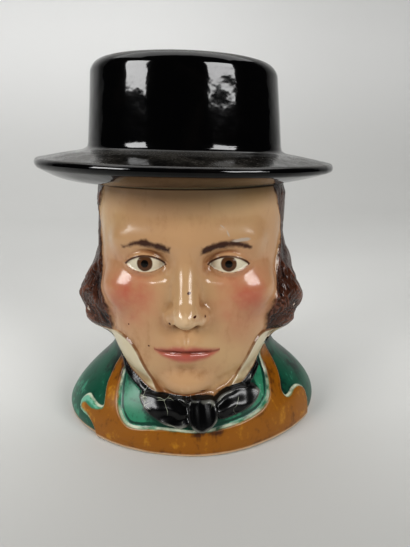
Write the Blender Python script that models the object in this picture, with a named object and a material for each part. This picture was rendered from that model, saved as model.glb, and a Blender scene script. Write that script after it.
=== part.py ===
"""A figural tobacco jar in glazed earthenware: a man's head and shoulders, with his hat as the lid.

Metres, +Z up. The figure faces -Y and stands on z = 0, with the origin under the middle of the brim.
"""

import bmesh
import bpy
import numpy as np

MM = 0.001

# The jar
RIM_HEIGHT = 111.2 * MM
RIM_RADIUS = 42.6 * MM
HEAD_FOOT = 23.5 * MM
HEAD_TURN = np.radians(-7)
WALL = 5.0 * MM
FLOOR_THICKNESS = 6.0 * MM
MOUTH_DEPTH = 9.0 * MM

# The shoulders
BASE_HALF_WIDTH = 61.5 * MM
BASE_FRONT = 47.5 * MM
BASE_BACK = 50.0 * MM
BUST_FORWARD = 7.0 * MM
BUST_HEIGHT = 40.0 * MM
FOOT_WIDTH = 8.0 * MM
FOOT_RECESS = 2.0 * MM
FOOT_CHAMFER = 1.0 * MM

# The dress and hair, as heights of relief above the head and shoulders
LAPEL_RAISE = 1.2 * MM
COLLAR_RAISE = 1.0 * MM
BAND_RAISE = 1.3 * MM
BOW_RAISE = 3.4 * MM
KNOT_RAISE = 4.2 * MM
PLEAT_DEPTH = 1.0 * MM
HAIR_RAISE = 0.9 * MM
LOCK_DEPTH = 0.7 * MM
LOCK_LENGTH = 13.0 * MM
HAIR_FADE = 6.0 * MM
CURL_DEPTH = 1.1 * MM
CURL_LENGTH = 2.3 * MM
PLEAT_SPREAD = 14.0 * MM
LID_THICKNESS = 1.0 * MM
CREASE_WIDTH = 0.7 * MM
LIP_CUT = 1.2 * MM
LIP_CUT_WIDTH = 0.8 * MM
LIP_BOW = 0.5 * MM
LIP_BOW_WIDTH = 3.4 * MM
PHILTRUM_WIDTH = 1.6 * MM
RELIEF_EDGE = 2.2 * MM

# The hat, a lid whose flange drops into the jar's mouth
SEAT_GAP = 0.3 * MM
FLANGE_PLAY = 3.0 * MM
FLANGE_WALL = 4.0 * MM
FLANGE_DEPTH = 6.0 * MM
BRIM_RADIUS = 66.2 * MM
BRIM_EDGE_HEIGHT = 6.9 * MM
BRIM_EDGE_RADIUS = 2.0 * MM
BRIM_BELLY = 1.5 * MM
CROWN_RADIUS = 43.4 * MM
CROWN_TOP_RADIUS = 40.9 * MM
CROWN_FOOT = 12.5 * MM
CROWN_FILLET = 2.0 * MM
CROWN_HEIGHT = 48.5 * MM
CROWN_EDGE = 5.8 * MM
CROWN_DISH = 0.6 * MM
HAT_LEAN = 0.0236

# How a form's surface is looked for, from far outside inwards
SEARCH_REACH = 75.0 * MM
SEARCH_STEP = 1.0 * MM

# The meshes: the jar's columns and rows by count, closest together on the face and dress
COLUMN_TURNS = [(0, 0), (16, 38), (33, 112), (41, 180)]
ROW_RISES = [(0, 0), (13, 0.26), (33, 0.86), (36, 1)]
CAVITY_ROWS = 7
HAT_COLUMNS = 44

THIRD = (RIM_HEIGHT - HEAD_FOOT) / 2.7
MOUTH_RADIUS = RIM_RADIUS - WALL
HAT_SEAT = RIM_HEIGHT + SEAT_GAP
HAT_SHIFT = -0.85 * FLANGE_PLAY


def smooth_curve(stations, places):
    """A natural cubic spline through (place, value) stations, level beyond its ends."""
    xs, ys = np.array(stations, float).T
    places = np.clip(places, xs[0], xs[-1])
    gaps = np.diff(xs)
    count = len(xs)
    bends = np.eye(count)
    pulls = np.zeros(count)
    for i in range(1, count - 1):
        bends[i, i - 1 : i + 2] = gaps[i - 1], 2 * (gaps[i - 1] + gaps[i]), gaps[i]
        pulls[i] = 6 * ((ys[i + 1] - ys[i]) / gaps[i] - (ys[i] - ys[i - 1]) / gaps[i - 1])
    curving = np.linalg.solve(bends, pulls)
    i = np.clip(np.searchsorted(xs, places, side="right") - 1, 0, count - 2)
    gap = gaps[i]
    a = (xs[i + 1] - places) / gap
    b = 1 - a
    bow = ((a**3 - a) * curving[i] + (b**3 - b) * curving[i + 1]) * gap**2 / 6
    return a * ys[i] + b * ys[i + 1] + bow


def eased(value):
    """0 below 0, 1 above 1, and a smooth step between."""
    value = np.clip(value, 0, 1)
    return value * value * (3 - 2 * value)


def joined(a, b, blend):
    """Two distance fields as one form, with a fillet about `blend` wide where they meet."""
    share = np.clip(0.5 + 0.5 * (b - a) / blend, 0, 1)
    return b + (a - b) * share - blend * share * (1 - share)


def egg(p, centre, radii):
    """Distance to an ellipsoid, near enough close to its surface."""
    q = [(p[i] - centre[i]) / radii[i] for i in range(3)]
    size = np.sqrt(sum(c**2 for c in q))
    slope = np.sqrt(sum((q[i] / radii[i]) ** 2 for i in range(3)))
    return size * (size - 1) / np.maximum(slope, 1e-9)


def rod(p, start, end, start_radius, end_radius):
    """Distance to a round tapering rod."""
    run = [end[i] - start[i] for i in range(3)]
    along = sum((p[i] - start[i]) * run[i] for i in range(3)) / sum(c**2 for c in run)
    along = np.clip(along, 0, 1)
    away = np.sqrt(sum((p[i] - start[i] - along * run[i]) ** 2 for i in range(3)))
    return away - (start_radius + along * (end_radius - start_radius))


def oval(x, y, half_width, front, back, squareness):
    """Distance outwards, along a ray from the axis, to an oval with its own front and back depth."""
    depth = np.where(y < 0, front, back)
    away = np.hypot(x, y) + 1e-9
    size = (np.abs(x) / half_width) ** squareness + (np.abs(y) / depth) ** squareness
    return away * (1 - np.maximum(size, 1e-9) ** (-1 / squareness))


# Where the features sit: heights in thirds of the face, widths as shares of the rim's radius
EYE_RISE, EYE_ASIDE, EYE_HALF_WIDTH = 1.74, 0.40, 0.19
NOSE_FOOT_RISE = 1.0
MOUTH_RISE, MOUTH_HALF_WIDTH = 0.665, 0.32

# The head's ovals, as shares of the rim's radius at heights counted in thirds of the face
HEAD_HALF_WIDTH = [(-0.25, 0.55), (0, 0.66), (0.3, 0.83), (0.6, 0.91), (1, 0.965), (1.4, 1), (2, 0.99), (2.7, 1)]
HEAD_FRONT = [(-0.25, 0.9), (0, 1.02), (0.3, 1.1), (0.6, 1.1), (1, 1.075), (1.4, 1.03), (1.75, 0.99), (2.7, 1)]
HEAD_BACK = [(-0.25, 0.72), (0, 0.78), (0.3, 0.86), (0.6, 0.95), (1, 1.06), (1.4, 1.12), (1.9, 1.1), (2.7, 1)]
HEAD_SQUARENESS = [(0, 2.1), (0.6, 2.25), (1.75, 2.3), (2.3, 2.15), (2.7, 2)]


def plain_head(p):
    x, y, z = p
    thirds = (z - HEAD_FOOT) / THIRD
    half_width, front, back = (
        RIM_RADIUS * smooth_curve(stations, thirds) for stations in (HEAD_HALF_WIDTH, HEAD_FRONT, HEAD_BACK)
    )
    return oval(x, y, half_width, front, back, smooth_curve(HEAD_SQUARENESS, thirds))


def spot(side, forward, thirds):
    """A place on the head: sideways and forward in rim radii, and up in thirds of the face."""
    return side * RIM_RADIUS, -forward * RIM_RADIUS, HEAD_FOOT + thirds * THIRD


def sizes(*shares):
    return [share * RIM_RADIUS for share in shares]


def carved(form, tool, blend):
    """A form with a tool's shape taken out of it."""
    return -joined(-form, tool, blend)


def face(p):
    """The head with its features, calm and even. One side's features are mirrored to the other."""
    x, y, z = p
    half = (np.abs(x), y, z)
    wide, soft, medium, firm = sizes(0.2, 0.12, 0.07, 0.035)
    form = plain_head(p)
    form = joined(form, rod(half, spot(0, 0.92, 2.03), spot(0.60, 0.74, 2.02), *sizes(0.10, 0.075)), wide)
    form = joined(form, egg(half, spot(0.56, 0.66, 1.36), sizes(0.32, 0.29, 0.26)), soft)
    form = joined(form, egg(p, spot(0, 0.78, 0.70), sizes(0.40, 0.36, 0.34)), soft)
    form = joined(form, egg(p, spot(0, 0.94, 0.20), sizes(0.28, 0.24, 0.18)), medium)
    form = carved(form, egg(half, spot(0.36, 1.03, 1.76), sizes(0.25, 0.16, 0.15)), medium)
    form = joined(form, egg(half, spot(0.40, 0.76, 1.745), sizes(0.225, 0.215, 0.185)), firm)
    form = joined(form, rod(p, spot(0, 0.92, 1.90), spot(0, 1.12, 1.26), *sizes(0.10, 0.12)), soft)
    form = joined(form, egg(p, spot(0, 1.16, 1.165), sizes(0.125, 0.15, 0.115)), medium)
    form = joined(form, egg(half, spot(0.125, 1.035, 1.12), sizes(0.085, 0.14, 0.09)), medium)
    form = carved(form, egg(half, spot(0.075, 1.17, 1.02), sizes(0.045, 0.07, 0.035)), firm)
    form = joined(form, rod(half, spot(0.03, 1.105, 0.75), spot(0.32, 0.98, 0.68), *sizes(0.055, 0.018)), medium)
    form = joined(form, rod(half, spot(0, 1.09, 0.585), spot(0.28, 0.98, 0.645), *sizes(0.075, 0.025)), medium)
    return form


def side_whiskers(p):
    """The bushy hair that covers the ears, with a lumpy curled surface."""
    x, y, z = p
    half = (np.abs(x), y, z)
    up, along = z / CURL_LENGTH, y / CURL_LENGTH
    curls = np.sin(up + 1.3 * np.sin(0.77 * along)) + np.sin(0.79 * along + 0.46 * up)
    puff = egg(half, spot(0.89, 0.17, 1.06), sizes(0.31, 0.50, 0.38))
    puff = joined(puff, egg(half, spot(0.84, -0.16, 1.25), sizes(0.24, 0.52, 0.50)), 0.2 * RIM_RADIUS)
    return puff - 0.5 * CURL_DEPTH * curls


# The shoulders' spread from the neck to the base, at shares of their height
SHOULDER_SPREAD = [(0, 1), (0.1, 1.02), (0.25, 0.94), (0.4, 0.77), (0.55, 0.52), (0.7, 0.25), (0.85, 0.08), (1, 0)]
NECK_HALF_WIDTH, NECK_FRONT, NECK_BACK = 0.87, 0.87, 0.98
BUST_SQUARENESS = 1.8


def bust(p):
    x, y, z = p
    spread = smooth_curve(SHOULDER_SPREAD, z / BUST_HEIGHT)
    half_width, front, back = (
        neck * RIM_RADIUS + spread * (base - neck * RIM_RADIUS)
        for neck, base in ((NECK_HALF_WIDTH, BASE_HALF_WIDTH), (NECK_FRONT, BASE_FRONT), (NECK_BACK, BASE_BACK))
    )
    above = np.maximum(z - BUST_HEIGHT, 0)
    return oval(x, y + BUST_FORWARD, half_width, front, back, BUST_SQUARENESS) + above


def turned(p):
    """The same place in the head's own directions, which look a little to the figure's right."""
    x, y, z = p
    along, across = np.cos(HEAD_TURN), np.sin(HEAD_TURN)
    return x * along + y * across, y * along - x * across, z


def figure(p):
    head = joined(face(turned(p)), side_whiskers(turned(p)), 0.17 * RIM_RADIUS)
    return joined(head, bust(p), 0.03 * RIM_RADIUS)


def plain_figure(p):
    return joined(plain_head(p), bust(p), 0.2 * RIM_RADIUS)


def ray_radius(form, angles, heights, halvings=9):
    """How far from the axis a form's outermost surface lies, at each angle from the front and height."""
    outside = np.full(np.broadcast(angles, heights).shape, SEARCH_REACH)
    sines, cosines = np.sin(angles), np.cos(angles)

    def free(radius):
        return form((radius * sines, -radius * cosines, heights + 0 * radius)) > 0

    searching = np.ones(outside.shape, bool)
    for _ in range(int(SEARCH_REACH / SEARCH_STEP) - 1):
        searching &= free(outside - SEARCH_STEP)
        if not searching.any():
            break
        outside = np.where(searching, outside - SEARCH_STEP, outside)
    inside = outside - SEARCH_STEP
    for _ in range(halvings):
        middle = (inside + outside) / 2
        clear = free(middle)
        outside, inside = np.where(clear, middle, outside), np.where(clear, inside, middle)
    return (inside + outside) / 2


# Outlines on the figure: degrees round from the head's own front, and fortieths of the bust's height up
LAPELS = [
    (-44, 38), (-50, 31), (-49, 25), (-47, 21.4), (-44.5, 18), (-43.5, 14.5), (-47, 13.8), (-52, 14.8), (-56, 15.3),
    (-59, 12), (-57, 8.5), (-50, 7.5), (-46, 4.5), (-45, 0), (-44, -6), (10, -6), (66, -6), (68, 4), (70, 9),
    (70.5, 13), (67, 15.6), (62, 16.2), (58, 15.4), (54.5, 15.6), (53.5, 18.9), (57, 22.6), (60, 26.4), (61, 31),
    (57, 38), (50, 38), (50, 31), (49, 26.4), (46, 22.2), (44, 19.5), (41, 17.5), (37, 15.7), (31, 14.3),
    (25, 13.3), (18, 12.6), (12, 11.9), (4, 11.6), (-6, 12.2), (-16, 11.9), (-22, 11), (-27, 10.9), (-30.5, 12.6),
    (-34, 16), (-36.5, 20.2), (-39, 24.5), (-41, 29), (-41.5, 34),
]  # fmt: skip
BOW_LEFT = [
    (-25, 23.5), (-22.5, 25.6), (-17, 25.9), (-9, 25.4), (1, 25.2), (3, 17), (0, 13.6), (-8, 14), (-15, 16),
    (-21, 19.4),
]  # fmt: skip
BOW_RIGHT = [
    (11, 22), (16, 26.2), (23, 27.6), (30, 27.6), (36.5, 26), (39.5, 23.6), (36, 20.4), (30, 18), (24, 16.6),
    (15, 16),
]  # fmt: skip
KNOT = [(0.5, 25.4), (0, 18), (2.5, 13.5), (7, 12), (12, 14.2), (14.8, 18), (13.8, 24.6), (7, 26.2)]
COLLAR_TOP = [
    (-180, 45), (-80, 46), (-49, 47), (-33, 46), (-27, 41.5), (-22.5, 35), (-18, 28.8), (-11, 24.9), (-3, 23.2),
    (8, 23.2), (16, 25.2), (23, 28.2), (29, 32), (34, 38), (39, 44), (52, 47), (80, 46), (180, 45),
]  # fmt: skip
COLLAR_FOOT = [
    (-180, 40), (-80, 40), (-47, 39), (-41, 34), (-32, 30.4), (-22, 27), (-15, 24.7), (-8, 22.4), (0, 21.5),
    (12, 21.5), (20, 24.6), (30, 27.4), (38, 30.5), (45, 33.8), (52, 39), (80, 40), (180, 40),
]  # fmt: skip
BUST_UNIT = BUST_HEIGHT / 40
BAND_HALF_SPAN = np.radians(46)
BAND_WIDTH = 3.2 * MM

# The hair's front edge in degrees, at heights counted in thirds of the face
HAIR_EDGE = [
    (0.4, 66), (0.6, 54), (0.75, 49.5), (1, 47.5), (1.15, 48), (1.3, 51), (1.5, 56), (1.75, 62), (2.05, 70),
    (2.3, 67), (2.5, 60), (2.7, 56),
]  # fmt: skip
HAIR_FOOT = 0.42
OUTLINE_RADIUS = 1.13 * RIM_RADIUS


def flat(outline, bends=5):
    """A closed outline's points as metres round and up, with a smooth curve through its corners."""
    corners = np.array([(np.radians(angle) * OUTLINE_RADIUS, height * BUST_UNIT) for angle, height in outline])
    before, after, beyond = (np.roll(corners, shift, axis=0) for shift in (1, -1, -2))
    pieces = []
    for t in np.arange(bends) / bends:
        pull = 3 * (corners - after) + beyond - before
        curve = 2 * corners + t * (after - before) + t * t * (2 * before - 5 * corners + 4 * after - beyond) + t**3 * pull
        pieces.append(curve / 2)
    return np.stack(pieces, axis=1).reshape(-1, 2)


def depth_within(outline, around, up):
    """How far inside a closed outline each place is, and negative outside it."""
    loop = flat(outline)
    nearest = np.full(around.shape, np.inf)
    crossings = np.zeros(around.shape, int)
    for (ax, ay), (bx, by) in zip(loop, np.roll(loop, -1, axis=0)):
        run_x, run_y = bx - ax, by - ay
        along = ((around - ax) * run_x + (up - ay) * run_y) / (run_x**2 + run_y**2)
        along = np.clip(along, 0, 1)
        nearest = np.minimum(nearest, np.hypot(around - ax - along * run_x, up - ay - along * run_y))
        spans = (ay > up) != (by > up)
        crossings += spans & (around < ax + (up - ay) / (by - ay + (by == ay)) * run_x)
    return np.where(crossings % 2, nearest, -nearest)


def edge_height(stations, angles):
    """A collar edge's height at each angle, and how much nearer its slope brings it than straight up."""
    turns = np.degrees(angles)
    height = smooth_curve(stations, turns) * BUST_UNIT
    slope = (smooth_curve(stations, turns + 1) - smooth_curve(stations, turns - 1)) * BUST_UNIT
    return height, 1 / np.hypot(1, slope / (2 * np.radians(1) * OUTLINE_RADIUS))


def collar_depth(angles, heights):
    (top, top_share), (foot, foot_share) = edge_height(COLLAR_TOP, angles), edge_height(COLLAR_FOOT, angles)
    return np.minimum((top - heights) * top_share, (heights - foot) * foot_share)


def band_depth(angles, heights):
    foot, share = edge_height(COLLAR_FOOT, angles)
    within = share * (BAND_WIDTH / 2 - np.abs(heights - foot + BAND_WIDTH / 2))
    return np.minimum(within, (BAND_HALF_SPAN - np.abs(angles)) * OUTLINE_RADIUS)


def pleats(around, up):
    """Folds in the bow's wings, spreading from the knot and dying out towards the tips."""
    middle = np.mean(flat(KNOT), axis=0)
    away = np.hypot(around - middle[0], up - middle[1])
    fan = np.arctan2(up - middle[1], np.abs(around - middle[0]))
    dying = np.exp(-away / PLEAT_SPREAD)
    return PLEAT_DEPTH * dying * (1 + np.cos(11 * fan + 1.5))


def hair_depth(angles, heights):
    thirds = (heights - HEAD_FOOT) / THIRD
    edge = np.radians(smooth_curve(HAIR_EDGE, thirds))
    return np.minimum((np.abs(angles) - edge) * OUTLINE_RADIUS, (thirds - HAIR_FOOT) * THIRD)


def almond(x, z, width, rise, drop):
    """How far inside a pointed eye shape each place is, from its two arcs."""
    upper = (width**2 + rise**2) / (2 * rise)
    lower = (width**2 + drop**2) / (2 * drop)
    below = upper - np.hypot(x, z + upper - rise)
    above = lower - np.hypot(x, z - lower + drop)
    return np.minimum(below, above)


def groove(distance, width):
    return np.exp(-((distance / width) ** 2))


def cuts(x, heights):
    """Relief of the eye openings, lid creases, lips and philtrum, on the front of the head."""
    _, _, eye_height = spot(0, 0, EYE_RISE)
    _, _, mouth_height = spot(0, 0, MOUTH_RISE)
    _, _, nose_height = spot(0, 0, NOSE_FOOT_RISE)
    across = np.abs(x) - EYE_ASIDE * RIM_RADIUS
    rise = heights - eye_height
    width = EYE_HALF_WIDTH * RIM_RADIUS
    opening = almond(across, rise, width, 0.45 * width, 0.34 * width)
    crease = almond(across, rise, 1.12 * width, 0.72 * width, 0.5 * width)
    lids = -LID_THICKNESS * eased(0.5 + opening / (0.5 * RELIEF_EDGE))
    lids -= 0.5 * LID_THICKNESS * groove(crease, CREASE_WIDTH) * (rise > 0.1 * width)
    curve = heights - mouth_height - LIP_BOW * np.cos(x / LIP_BOW_WIDTH) - 0.2 * x**2 / RIM_RADIUS
    mouth = -LIP_CUT * groove(curve, LIP_CUT_WIDTH) * eased(6 * (MOUTH_HALF_WIDTH - np.abs(x) / RIM_RADIUS))
    above_lip = eased((heights - mouth_height) / (2 * PHILTRUM_WIDTH) - 0.6)
    under_nose = above_lip * eased((nose_height - heights) / PHILTRUM_WIDTH)
    philtrum = -0.5 * LIP_CUT * groove(x, PHILTRUM_WIDTH) * under_nose
    return lids + mouth + philtrum


def locks(angles, heights):
    """Waves of hair running down the head, from -1 to 1."""
    fall = heights / LOCK_LENGTH
    sway = 2.2 * np.sin(fall) + 0.9 * np.sin(2.13 * fall + 2 * angles)
    return np.sin(13 * angles + sway) * (0.75 + 0.25 * np.cos(2.77 * fall + 5 * angles))


def dressed(radius, angles, heights):
    """The figure's radius with its clothes and hair raised on it."""
    own = (angles - HEAD_TURN + np.pi) % (2 * np.pi) - np.pi
    around = own * OUTLINE_RADIUS
    lapels = np.minimum(depth_within(LAPELS, around, heights), edge_height(COLLAR_FOOT, own)[0] - heights)
    coats = LAPEL_RAISE * eased(0.5 + lapels / RELIEF_EDGE)
    collar = COLLAR_RAISE * eased(0.5 + collar_depth(own, heights) / RELIEF_EDGE)
    band = BAND_RAISE * eased(0.5 + band_depth(own, heights) / RELIEF_EDGE)
    wings = np.maximum(depth_within(BOW_LEFT, around, heights), depth_within(BOW_RIGHT, around, heights))
    bow = BOW_RAISE * eased(0.2 + 0.6 * wings / RELIEF_EDGE) - pleats(around, heights) * (wings > 0)
    knot = KNOT_RAISE * eased(0.2 + 0.6 * depth_within(KNOT, around, heights) / RELIEF_EDGE)
    hair = eased(0.5 + 0.6 * hair_depth(own, heights) / RELIEF_EDGE)
    combed = hair * (HAIR_RAISE + LOCK_DEPTH * locks(own, heights))
    below_rim = eased((RIM_HEIGHT - heights) / HAIR_FADE)
    radius = radius + np.maximum.reduce([coats, collar, band, bow, knot, combed * below_rim])
    return radius + np.where(np.abs(own) < np.radians(60), cuts(radius * np.sin(own), heights), 0)


def column_angles():
    """Angles of the jar's columns, closer together across the front."""
    half = COLUMN_TURNS[-1][0]
    turns = smooth_curve(COLUMN_TURNS, np.arange(half + 1))
    return np.radians(np.concatenate([-turns[:0:-1], turns[:-1]]))


def row_heights():
    rises = smooth_curve(ROW_RISES, np.arange(ROW_RISES[-1][0] + 1))
    return FOOT_CHAMFER + rises * (RIM_HEIGHT - FOOT_CHAMFER)


def surface(angles, heights):
    """The figure's radius at each row and column, each the mean of nine places over its own cell."""
    across = np.gradient(np.unwrap(angles)) / 3
    up = np.gradient(heights) / 3
    total = np.zeros((len(heights), len(angles)))
    for side in (-1, 0, 1):
        for rise in (-1, 0, 1):
            levels = np.minimum(heights + rise * up, RIM_HEIGHT)
            around, level = np.meshgrid(angles + side * across, levels)
            total += dressed(ray_radius(figure, around, level), around, level)
    return total / 9


def cavity_radius(angles, heights):
    """The inside of the wall: one wall's thickness from the plain figure, square to its surface."""
    dips = np.linspace(-1, 1, 9) * WALL
    nearest = [
        ray_radius(plain_figure, angles, np.maximum(heights + dip, 0)) - np.sqrt(WALL**2 - dip**2) for dip in dips
    ]
    return np.minimum.reduce(nearest)


def ring(radius, angles, height):
    level = np.broadcast_to(height, angles.shape)
    return np.stack([radius * np.sin(angles), -radius * np.cos(angles), level], axis=1)


def lofted(name, start, rings, end):
    """One closed mesh through rings of points, closed to a single point at each end."""
    count = len(rings[0])
    points = [start, *np.concatenate(rings), end]
    faces = [(0, 1 + i, 1 + (i + 1) % count) for i in range(count)]
    for row in range(len(rings) - 1):
        low, high = 1 + row * count, 1 + (row + 1) * count
        faces += [(low + i, high + i, high + (i + 1) % count, low + (i + 1) % count) for i in range(count)]
    last, top = 1 + (len(rings) - 1) * count, len(points) - 1
    faces += [(last + i, top, last + (i + 1) % count) for i in range(count)]
    mesh = bpy.data.meshes.new(name)
    mesh.from_pydata([tuple(map(float, point)) for point in points], [], faces)
    shape = bmesh.new()
    shape.from_mesh(mesh)
    bmesh.ops.recalc_face_normals(shape, faces=shape.faces)
    shape.to_mesh(mesh)
    shape.free()
    mesh.shade_smooth()
    mesh.set_sharp_from_angle(angle=np.radians(42))
    made = bpy.data.objects.new(name, mesh)
    made.location.x = -HAT_SHIFT
    bpy.context.scene.collection.objects.link(made)
    return made


def head_jar():
    angles = column_angles()
    floor = FOOT_RECESS + FLOOR_THICKNESS
    base = ray_radius(bust, angles, 0 * angles)
    rings = [
        ring(base - FOOT_WIDTH - FOOT_RECESS, angles, FOOT_RECESS),
        ring(base - FOOT_WIDTH, angles, 0),
        ring(dressed(base, angles, 0 * angles) - FOOT_CHAMFER, angles, 0),
    ]
    heights = row_heights()
    rings += [ring(radius, angles, height) for radius, height in zip(surface(angles, heights), heights)]
    rings[-1] = ring(RIM_RADIUS, angles, RIM_HEIGHT)
    rings.append(ring(MOUTH_RADIUS, angles, RIM_HEIGHT))
    for height in np.linspace(RIM_HEIGHT - MOUTH_DEPTH, floor, CAVITY_ROWS):
        radius = cavity_radius(angles, height + 0 * angles)
        if height > RIM_HEIGHT - MOUTH_DEPTH - MM:
            radius = MOUTH_RADIUS + 0 * angles
        rings.append(ring(radius, angles, height))
    rings[-1] = ring(cavity_radius(angles, floor + 0 * angles) - WALL, angles, floor)
    return lofted("head_jar", (0, 0, FOOT_RECESS), rings, (0, 0, floor))


def arc(centre_radius, centre_height, size, start, end, steps):
    """Points of a round edge in a turned profile, from one angle above level to another."""
    turns = np.radians(np.linspace(start, end, steps))
    return [(centre_radius + size * np.cos(t), centre_height + size * np.sin(t)) for t in turns]


def hat_profile():
    """The hat's outside from its flange round the brim to the top, then its inside, from the seat up."""
    flange_radius = MOUTH_RADIUS - FLANGE_PLAY
    edge_radius = CROWN_TOP_RADIUS - CROWN_EDGE
    edge_height = CROWN_HEIGHT - CROWN_EDGE
    brim = arc(BRIM_RADIUS - BRIM_EDGE_RADIUS, BRIM_EDGE_HEIGHT, BRIM_EDGE_RADIUS, -70, 70, 5)
    underside = []
    for share in (0.33, 0.67):
        radius = RIM_RADIUS + share * (brim[0][0] - RIM_RADIUS)
        underside.append((radius, share * brim[0][1] - BRIM_BELLY * np.sin(np.pi * share)))
    slope = (CROWN_FOOT - brim[-1][1]) / (brim[-1][0] - CROWN_RADIUS)
    outside = [
        (flange_radius - FLANGE_WALL, -FLANGE_DEPTH),
        (flange_radius, -FLANGE_DEPTH),
        (flange_radius, 0),
        (RIM_RADIUS, 0),
        *underside,
        *brim,
        (CROWN_RADIUS + 5 * CROWN_FILLET, CROWN_FOOT - 4.4 * CROWN_FILLET * slope),
        (CROWN_RADIUS + 1.6 * CROWN_FILLET, CROWN_FOOT - 1.1 * CROWN_FILLET * slope),
        (CROWN_RADIUS + 0.35 * CROWN_FILLET, CROWN_FOOT + 0.4 * CROWN_FILLET),
        (CROWN_RADIUS, CROWN_FOOT + 1.4 * CROWN_FILLET),
        *arc(edge_radius, edge_height, CROWN_EDGE, 0, 90, 4),
        (edge_radius / 2, CROWN_HEIGHT - CROWN_DISH),
    ]
    roof = CROWN_HEIGHT - CROWN_DISH - WALL
    inside = [
        (edge_radius - WALL, roof),
        (CROWN_TOP_RADIUS - WALL, edge_height - WALL),
        (CROWN_RADIUS - WALL, CROWN_FOOT),
        (flange_radius - FLANGE_WALL, 0),
    ]
    return outside, inside, CROWN_HEIGHT - CROWN_DISH, roof


def hat_lid():
    outside, inside, top, roof = hat_profile()
    angles = np.linspace(0, 2 * np.pi, HAT_COLUMNS, endpoint=False)
    rings = []
    for radius, height in inside + outside:
        turned_ring = ring(radius, angles, height)
        # The hat warped a little in the kiln, but it still sits flat on the rim.
        turned_ring[:, 2] -= HAT_LEAN * turned_ring[:, 0] * eased(height / BRIM_EDGE_HEIGHT)
        turned_ring += (HAT_SHIFT, 0, HAT_SEAT)
        rings.append(turned_ring)
    return lofted("hat_lid", (HAT_SHIFT, 0, HAT_SEAT + roof), rings, (HAT_SHIFT, 0, HAT_SEAT + top))


def glaze(name, colour, roughness):
    material = bpy.data.materials.new(name)
    material.use_nodes = True
    shader = material.node_tree.nodes["Principled BSDF"]
    shader.inputs["Base Color"].default_value = (*colour, 1)
    shader.inputs["Roughness"].default_value = roughness
    shader.inputs["Metallic"].default_value = 0
    return material


def main():
    for old in list(bpy.data.objects):
        bpy.data.objects.remove(old)
    head_jar().data.materials.append(glaze("painted flesh and cloth glaze", (0.50, 0.33, 0.18), 0.2))
    hat_lid().data.materials.append(glaze("black glaze", (0.008, 0.008, 0.010), 0.12))


main()
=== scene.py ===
"""The looks of a figural tobacco jar: a fine mesh of each casting, with painted and glazed finishes."""

import bmesh
import bpy
import numpy as np
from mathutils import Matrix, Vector


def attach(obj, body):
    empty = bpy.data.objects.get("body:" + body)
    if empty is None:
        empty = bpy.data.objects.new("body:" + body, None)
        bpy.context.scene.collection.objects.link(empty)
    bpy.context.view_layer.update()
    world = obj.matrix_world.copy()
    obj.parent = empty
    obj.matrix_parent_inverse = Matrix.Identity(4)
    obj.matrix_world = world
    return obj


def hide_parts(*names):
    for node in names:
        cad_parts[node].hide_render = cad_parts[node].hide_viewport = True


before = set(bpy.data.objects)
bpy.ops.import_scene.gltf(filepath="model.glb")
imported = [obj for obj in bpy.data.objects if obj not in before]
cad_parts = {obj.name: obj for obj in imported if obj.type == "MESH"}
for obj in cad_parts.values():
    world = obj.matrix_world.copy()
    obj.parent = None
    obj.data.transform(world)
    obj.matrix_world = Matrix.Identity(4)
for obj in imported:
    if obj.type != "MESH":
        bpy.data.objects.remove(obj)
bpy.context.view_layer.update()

MM = 0.001

# The jar
RIM_HEIGHT = 111.2 * MM
RIM_RADIUS = 42.6 * MM
HEAD_FOOT = 23.5 * MM
HEAD_TURN = np.radians(-7)
WALL = 5.0 * MM
FLOOR_THICKNESS = 6.0 * MM
MOUTH_DEPTH = 9.0 * MM

# The shoulders
BASE_HALF_WIDTH = 61.5 * MM
BASE_FRONT = 47.5 * MM
BASE_BACK = 50.0 * MM
BUST_FORWARD = 7.0 * MM
BUST_HEIGHT = 40.0 * MM
FOOT_WIDTH = 8.0 * MM
FOOT_RECESS = 2.0 * MM
FOOT_CHAMFER = 1.0 * MM

# The dress and hair, as heights of relief above the head and shoulders
LAPEL_RAISE = 1.2 * MM
COLLAR_RAISE = 1.0 * MM
BAND_RAISE = 1.3 * MM
BOW_RAISE = 3.4 * MM
KNOT_RAISE = 4.2 * MM
PLEAT_DEPTH = 1.0 * MM
HAIR_RAISE = 0.9 * MM
LOCK_DEPTH = 0.7 * MM
LOCK_LENGTH = 13.0 * MM
HAIR_FADE = 6.0 * MM
CURL_DEPTH = 1.1 * MM
CURL_LENGTH = 2.3 * MM
PLEAT_SPREAD = 14.0 * MM
LID_THICKNESS = 1.0 * MM
CREASE_WIDTH = 0.7 * MM
LIP_CUT = 1.2 * MM
LIP_CUT_WIDTH = 0.8 * MM
LIP_BOW = 0.5 * MM
LIP_BOW_WIDTH = 3.4 * MM
UPPER_LIP = 2.9 * MM
LOWER_LIP = 3.9 * MM
PHILTRUM_WIDTH = 1.6 * MM
RELIEF_EDGE = 1.0 * MM

# The hat, a lid whose flange drops into the jar's mouth
SEAT_GAP = 0.3 * MM
FLANGE_PLAY = 3.0 * MM
FLANGE_WALL = 4.0 * MM
FLANGE_DEPTH = 6.0 * MM
FLANGE_CHAMFER = 0.5 * MM
BRIM_RADIUS = 66.2 * MM
BRIM_EDGE_HEIGHT = 6.9 * MM
BRIM_EDGE_RADIUS = 2.0 * MM
BRIM_BELLY = 1.5 * MM
CROWN_RADIUS = 43.4 * MM
CROWN_TOP_RADIUS = 40.9 * MM
CROWN_FOOT = 12.5 * MM
CROWN_FILLET = 2.0 * MM
CROWN_HEIGHT = 48.5 * MM
CROWN_EDGE = 5.8 * MM
CROWN_DISH = 0.6 * MM
HAT_LEAN = 0.0236

# How a form's surface is looked for, from far outside inwards
SEARCH_REACH = 75.0 * MM
SEARCH_STEP = 1.0 * MM

# The fine modelling that the solids leave out
STRAND_DEPTH = 0.16 * MM
CRUMPLE_DEPTH = 0.22 * MM
HAND_WAVER = 0.12 * MM
RIM_EDGE = 0.6 * MM

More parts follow.
